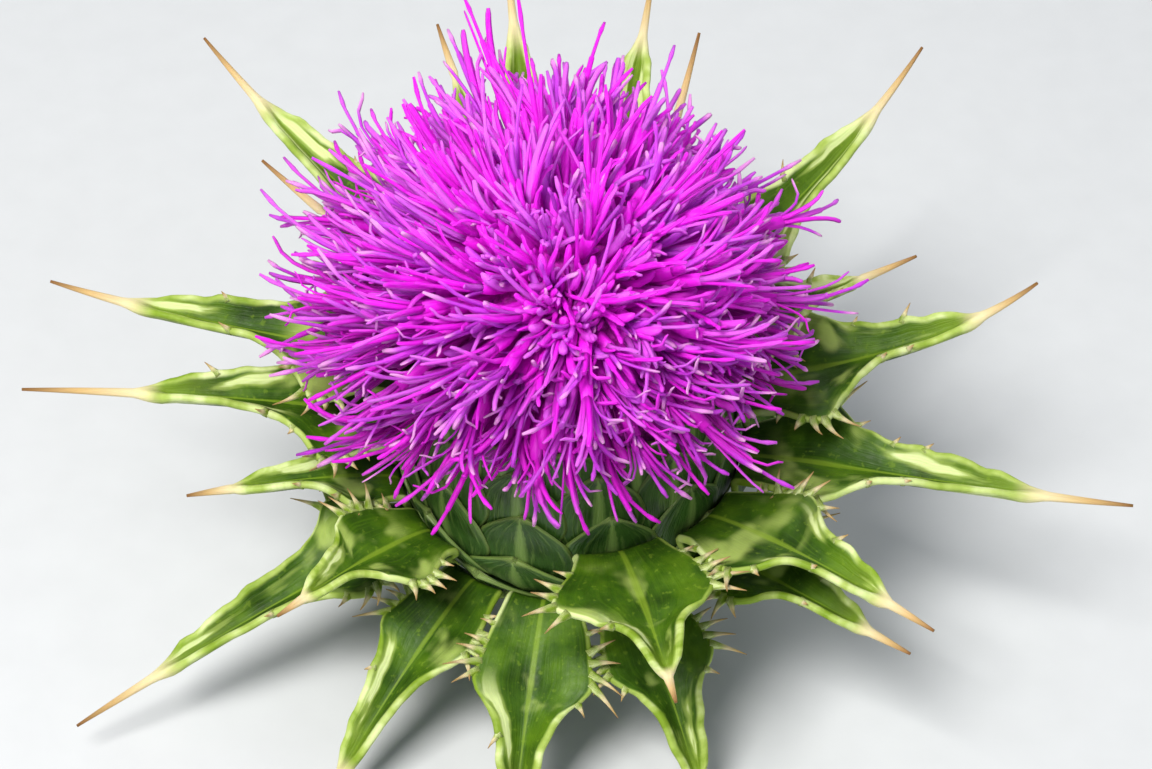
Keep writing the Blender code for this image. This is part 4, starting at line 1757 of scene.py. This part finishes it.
    def styles(self) -> Strands:
        """Lays out the anther tubes with the styles that stand out of them, past the lobes.

        Returns:
            The bundle.
        """
        sizes, draw = self.sizes, self.random.uniform
        side, other = self.frames()
        step = np.array(sizes.style_steps)
        t = self.alike(step)
        far = draw(0, 1, self.count) < sizes.long_styles
        longer = np.where(far, draw(*sizes.long_style, self.count), 1.0)[:, None]
        paths = self.path(t, longer)
        bends = [draw(-sizes.style_bend, sizes.style_bend, (self.count, 1)) for _ in range(2)]
        bend = side * bends[0] + other * bends[1]
        paths = paths + bend[:, None] * ((step - step[0]) / (step[-1] - step[0]))[None, :, None] ** 2
        radii = self.alike(sizes.style_radii)
        return Strands(paths, radii, radii, side, t / step[-1], self.tint)

    def bud_strands(self) -> Strands:
        """Lays out the florets that haven't opened, which stand shorter between the others.

        Returns:
            The bundle.
        """
        sizes, draw = self.sizes, self.random.uniform
        azimuth, elevation = dome_spread(self.buds, self.lowest_bud)
        turn = self.bud_turn + draw(-self.bud_scatter, self.bud_scatter, self.buds)
        azimuth = np.radians(azimuth + turn)
        reach = draw(*self.bud_reach, self.buds)
        step = np.array(sizes.bud_steps)
        root, limb, tip = (knee[:, None] for knee in self.knees(azimuth, elevation, reach))
        t = step[None, :, None]
        paths = root * (1 - t) ** 2 + (2 * limb - (root + tip) / 2) * 2 * t * (1 - t) + tip * t**2
        radii = np.array(sizes.bud_radii) * draw(*sizes.bud_range, (self.buds, 1))
        side = joined(-np.sin(azimuth), np.cos(azimuth), np.zeros(self.buds))
        along = np.broadcast_to(sizes.bud_along[0] + sizes.bud_along[1] * step, radii.shape)
        return Strands(paths, radii, radii, side, along, draw(*sizes.bud_tint, self.buds))

    def clear_of(self, strands: Strands, tree: BVHTree) -> Strands:
        """Leaves out the strands that would run into a bract.

        Args:
            strands: The bundle.
            tree: A search tree of the bracts' surfaces.

        Returns:
            The strands that are clear of them.
        """
        points = self.head.to_frame(strands.paths)
        reach = self.clearance * MM
        keep = [all(tree.find_nearest(Vector(at), reach)[0] is None for at in path[2:]) for path in points]
        return Strands(*(getattr(strands, part.name)[keep] for part in fields(strands)))

    def core(self, material: bpy.types.Material) -> bpy.types.Object:
        """Makes the small dome that the florets stand on.

        Args:
            material: Its finish.

        Returns:
            The piece.
        """
        form = Form("tuft_core", self.head)
        bmesh.ops.create_icosphere(form.bm, subdivisions=4, radius=self.core_r * MM)
        bmesh.ops.translate(form.bm, verts=form.bm.verts, vec=Vector(self.head.to_frame(self.centre())))
        floor = self.head.to_frame(np.array((0.0, 0.0, self.centre_z - self.core_foot)))
        whole = form.bm.verts[:] + form.bm.edges[:] + form.bm.faces[:]
        cut = bmesh.ops.bisect_plane(
            form.bm, geom=whole, plane_co=Vector(floor), plane_no=(0, 0, -1), clear_outer=True
        )
        rim = [item for item in cut["geom_cut"] if isinstance(item, bmesh.types.BMEdge)]
        bmesh.ops.contextual_create(form.bm, geom=rim)
        return form.finish(material, "floret_magenta", ["florets"])

    def build(self, finish: FloretFinish, shade: CoreFinish, bracts: Sequence[bpy.types.Object]) -> None:
        """Makes the tuft's pieces.

        Args:
            finish: The florets' skin.
            shade: The finish of the dome under them.
            bracts: The bracts that the florets keep clear of.
        """
        self.core(shade.material())
        gathered = bmesh.new()
        for bract in bracts:
            gathered.from_mesh(bract.data)
        tree = BVHTree.FromBMesh(gathered)
        gathered.free()
        material = finish.material()
        tubes = ((self.tube_rod, self.tubes), (self.style_rod, self.styles), (self.bud_rod, self.bud_strands))
        lobes = ((self.lobe_rod, self.lobe_strands),)
        for name, bundles in (("floret_tubes", tubes), ("floret_lobes", lobes)):
            form = Form(name, self.head)
            for rod, bundle in bundles:
                form.sweep(rod, self.clear_of(bundle(), tree))
            form.finish(material, "floret_magenta", ["florets"])


# ---------------------------------------------------------------------------------------------------
# The stalk
# ---------------------------------------------------------------------------------------------------


@dataclass
class Stalk:
    """The cut stub of the ribbed stalk under the cup."""

    head: HeadPlace
    cut_z: float = 2.2
    top_z: float = 7.65
    foot_r: float = 3.2
    top_r: float = 4.1
    ribs: int = 10
    groove: float = 0.32
    sides: int = 80
    rings: int = 14
    rind: float = 0.5
    pith_depth: float = 0.5

    def build(self, finish: StalkFinish) -> bpy.types.Object:
        """Makes the stalk.

        Args:
            finish: Its skin.

        Returns:
            The piece.
        """
        rod = Rod(self.sides, self.rings)
        rings = rod.corners()
        share = rings.ring / (self.rings - 1)
        angle = np.arctan2(rings.sine, rings.cosine)
        crest = 0.5 - 0.5 * np.cos(angle * self.ribs)
        radius = self.foot_r + (self.top_r - self.foot_r) * smooth(share) - self.groove * (1 - crest)
        z = self.cut_z + (self.top_z - self.cut_z) * share
        place = joined(crest, np.zeros_like(crest))
        form = Form("stalk_stub", self.head)
        form.add(rod, polar(radius, angle, z)[None], place[None], place[None] * 0)
        form.bm.faces.ensure_lookup_table()
        cut = min(form.bm.faces, key=lambda face: face.calc_center_median().z)
        ring = bmesh.ops.inset_region(
            form.bm, faces=[cut], thickness=self.rind * MM, use_even_offset=True
        )
        layer = form.bm.loops.layers.uv["place"]
        for face in [cut, *ring["faces"]]:
            for loop in face.loops:
                loop[layer].uv = (0.5, 1.0)
        bmesh.ops.translate(form.bm, verts=cut.verts, vec=(0, 0, self.pith_depth * MM))
        return form.finish(finish.material(), "stalk_green", ["stalk"])


# ---------------------------------------------------------------------------------------------------
# The studio
# ---------------------------------------------------------------------------------------------------


def point_at(thing: bpy.types.Object, place: Vector, heading: Vector) -> None:
    """Places a light or a camera, and turns it.

    Args:
        thing: The light or camera.
        place: Where it stands.
        heading: The way that it faces.
    """
    thing.location = place
    thing.rotation_mode = "QUATERNION"
    thing.rotation_quaternion = heading.to_track_quat("-Z", "Y")


@dataclass(frozen=True)
class SoftLight:
    """One square soft light, aimed at the head."""

    name: str
    place: tuple[float, float, float]
    size: float
    power: float
    colour: Colour = (1.0, 1.0, 1.0)

    def build(self, aim: Vector) -> None:
        """Makes the light.

        Args:
            aim: The point that it faces.
        """
        data = bpy.data.lights.new(self.name, "AREA")
        data.shape = "SQUARE"
        data.size = self.size
        data.energy = self.power
        data.color = self.colour
        point_at(staged(self.name, data), Vector(self.place), aim - Vector(self.place))


@dataclass
class Studio:
    """A pale floor, soft light, and the camera."""

    head: HeadPlace
    aim: tuple[float, float, float] = (0.6, -3.35, 31.1)  # the point that the camera faces
    elevation: float = 45.0
    distance: float = 0.294
    lens: float = 100.0
    sensor_width: float = 36.0
    lit_z: float = 34.0  # the height on the axis that the lights face
    floor_size: float = 6.0
    floor_colour: Colour = (0.56, 0.575, 0.59)
    floor_roughness: float = 0.85
    world_colour: Colour = (0.80, 0.86, 0.95)
    world_strength: float = 0.30
    lights: tuple[SoftLight, ...] = (
        SoftLight("key", (-0.16, -0.22, 0.48), 0.20, 4.2, (1.0, 0.98, 0.94)),
        SoftLight("fill", (0.40, -0.30, 0.30), 0.40, 0.5, (0.92, 0.96, 1.0)),
        SoftLight("back", (0.10, 0.45, 0.30), 0.30, 0.8),
    )

    def floor(self) -> None:
        """Makes the floor that the head stands on."""
        bm = bmesh.new()
        bmesh.ops.create_grid(bm, x_segments=1, y_segments=1, size=self.floor_size / 2)
        mesh = as_mesh(bm, "floor")
        w = Wiring("floor_paper")
        soft = tuple(0.97 * value for value in self.floor_colour)
        w.surface(w.ramp(w.noise(220, 5), (0.3, soft), (0.7, self.floor_colour)), self.floor_roughness)
        mesh.materials.append(w.material)
        staged("floor", mesh)

    def sky(self) -> None:
        """Gives the world its even, slightly cool light."""
        world = bpy.data.worlds.new("soft_sky")
        world.use_nodes = True
        background = world.node_tree.nodes["Background"]
        background.inputs["Color"].default_value = (*self.world_colour, 1.0)
        background.inputs["Strength"].default_value = self.world_strength
        bpy.context.scene.world = world

    def camera(self) -> None:
        """Sets the camera at the front, looking down on the head."""
        data = bpy.data.cameras.new("camera")
        data.lens = self.lens
        data.sensor_width = self.sensor_width
        data.clip_start = 0.01
        camera = staged("camera", data)
        aim = Vector(self.head.to_frame(np.array(self.aim)))
        up = math.radians(self.elevation)
        back = Vector((0, -math.cos(up), math.sin(up)))
        point_at(camera, aim + back * self.distance, -back)
        bpy.context.scene.camera = camera

    def build(self) -> None:
        """Makes the whole studio."""
        self.floor()
        self.sky()
        self.camera()
        aim = Vector(self.head.to_frame(np.array((0.0, 0.0, self.lit_z))))
        for light in self.lights:
            light.build(aim)
        bpy.context.scene.view_settings.view_transform = "Standard"


def clear_stage() -> None:
    """Removes the objects that a new scene starts with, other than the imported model's own."""
    for name in ("Cube", "Camera", "Light"):
        if name in bpy.data.objects:
            bpy.data.objects.remove(bpy.data.objects[name])


def main() -> None:
    """Builds the studio and the flower head, sub-assembly by sub-assembly."""
    logging.basicConfig(level=logging.INFO, format="%(message)s")
    clear_stage()
    head = HeadPlace.of_packed_stalk(Stalk.cut_z)
    wall = Wall()
    Studio(head).build()
    Stalk(head).build(StalkFinish())
    Involucre(head, wall).build(ScaleFinish())
    bracts = Bracts(head, wall).build(BractFinish())
    Tuft(head).build(FloretFinish(), CoreFinish(), bracts)


if __name__ == "__main__":
    main()
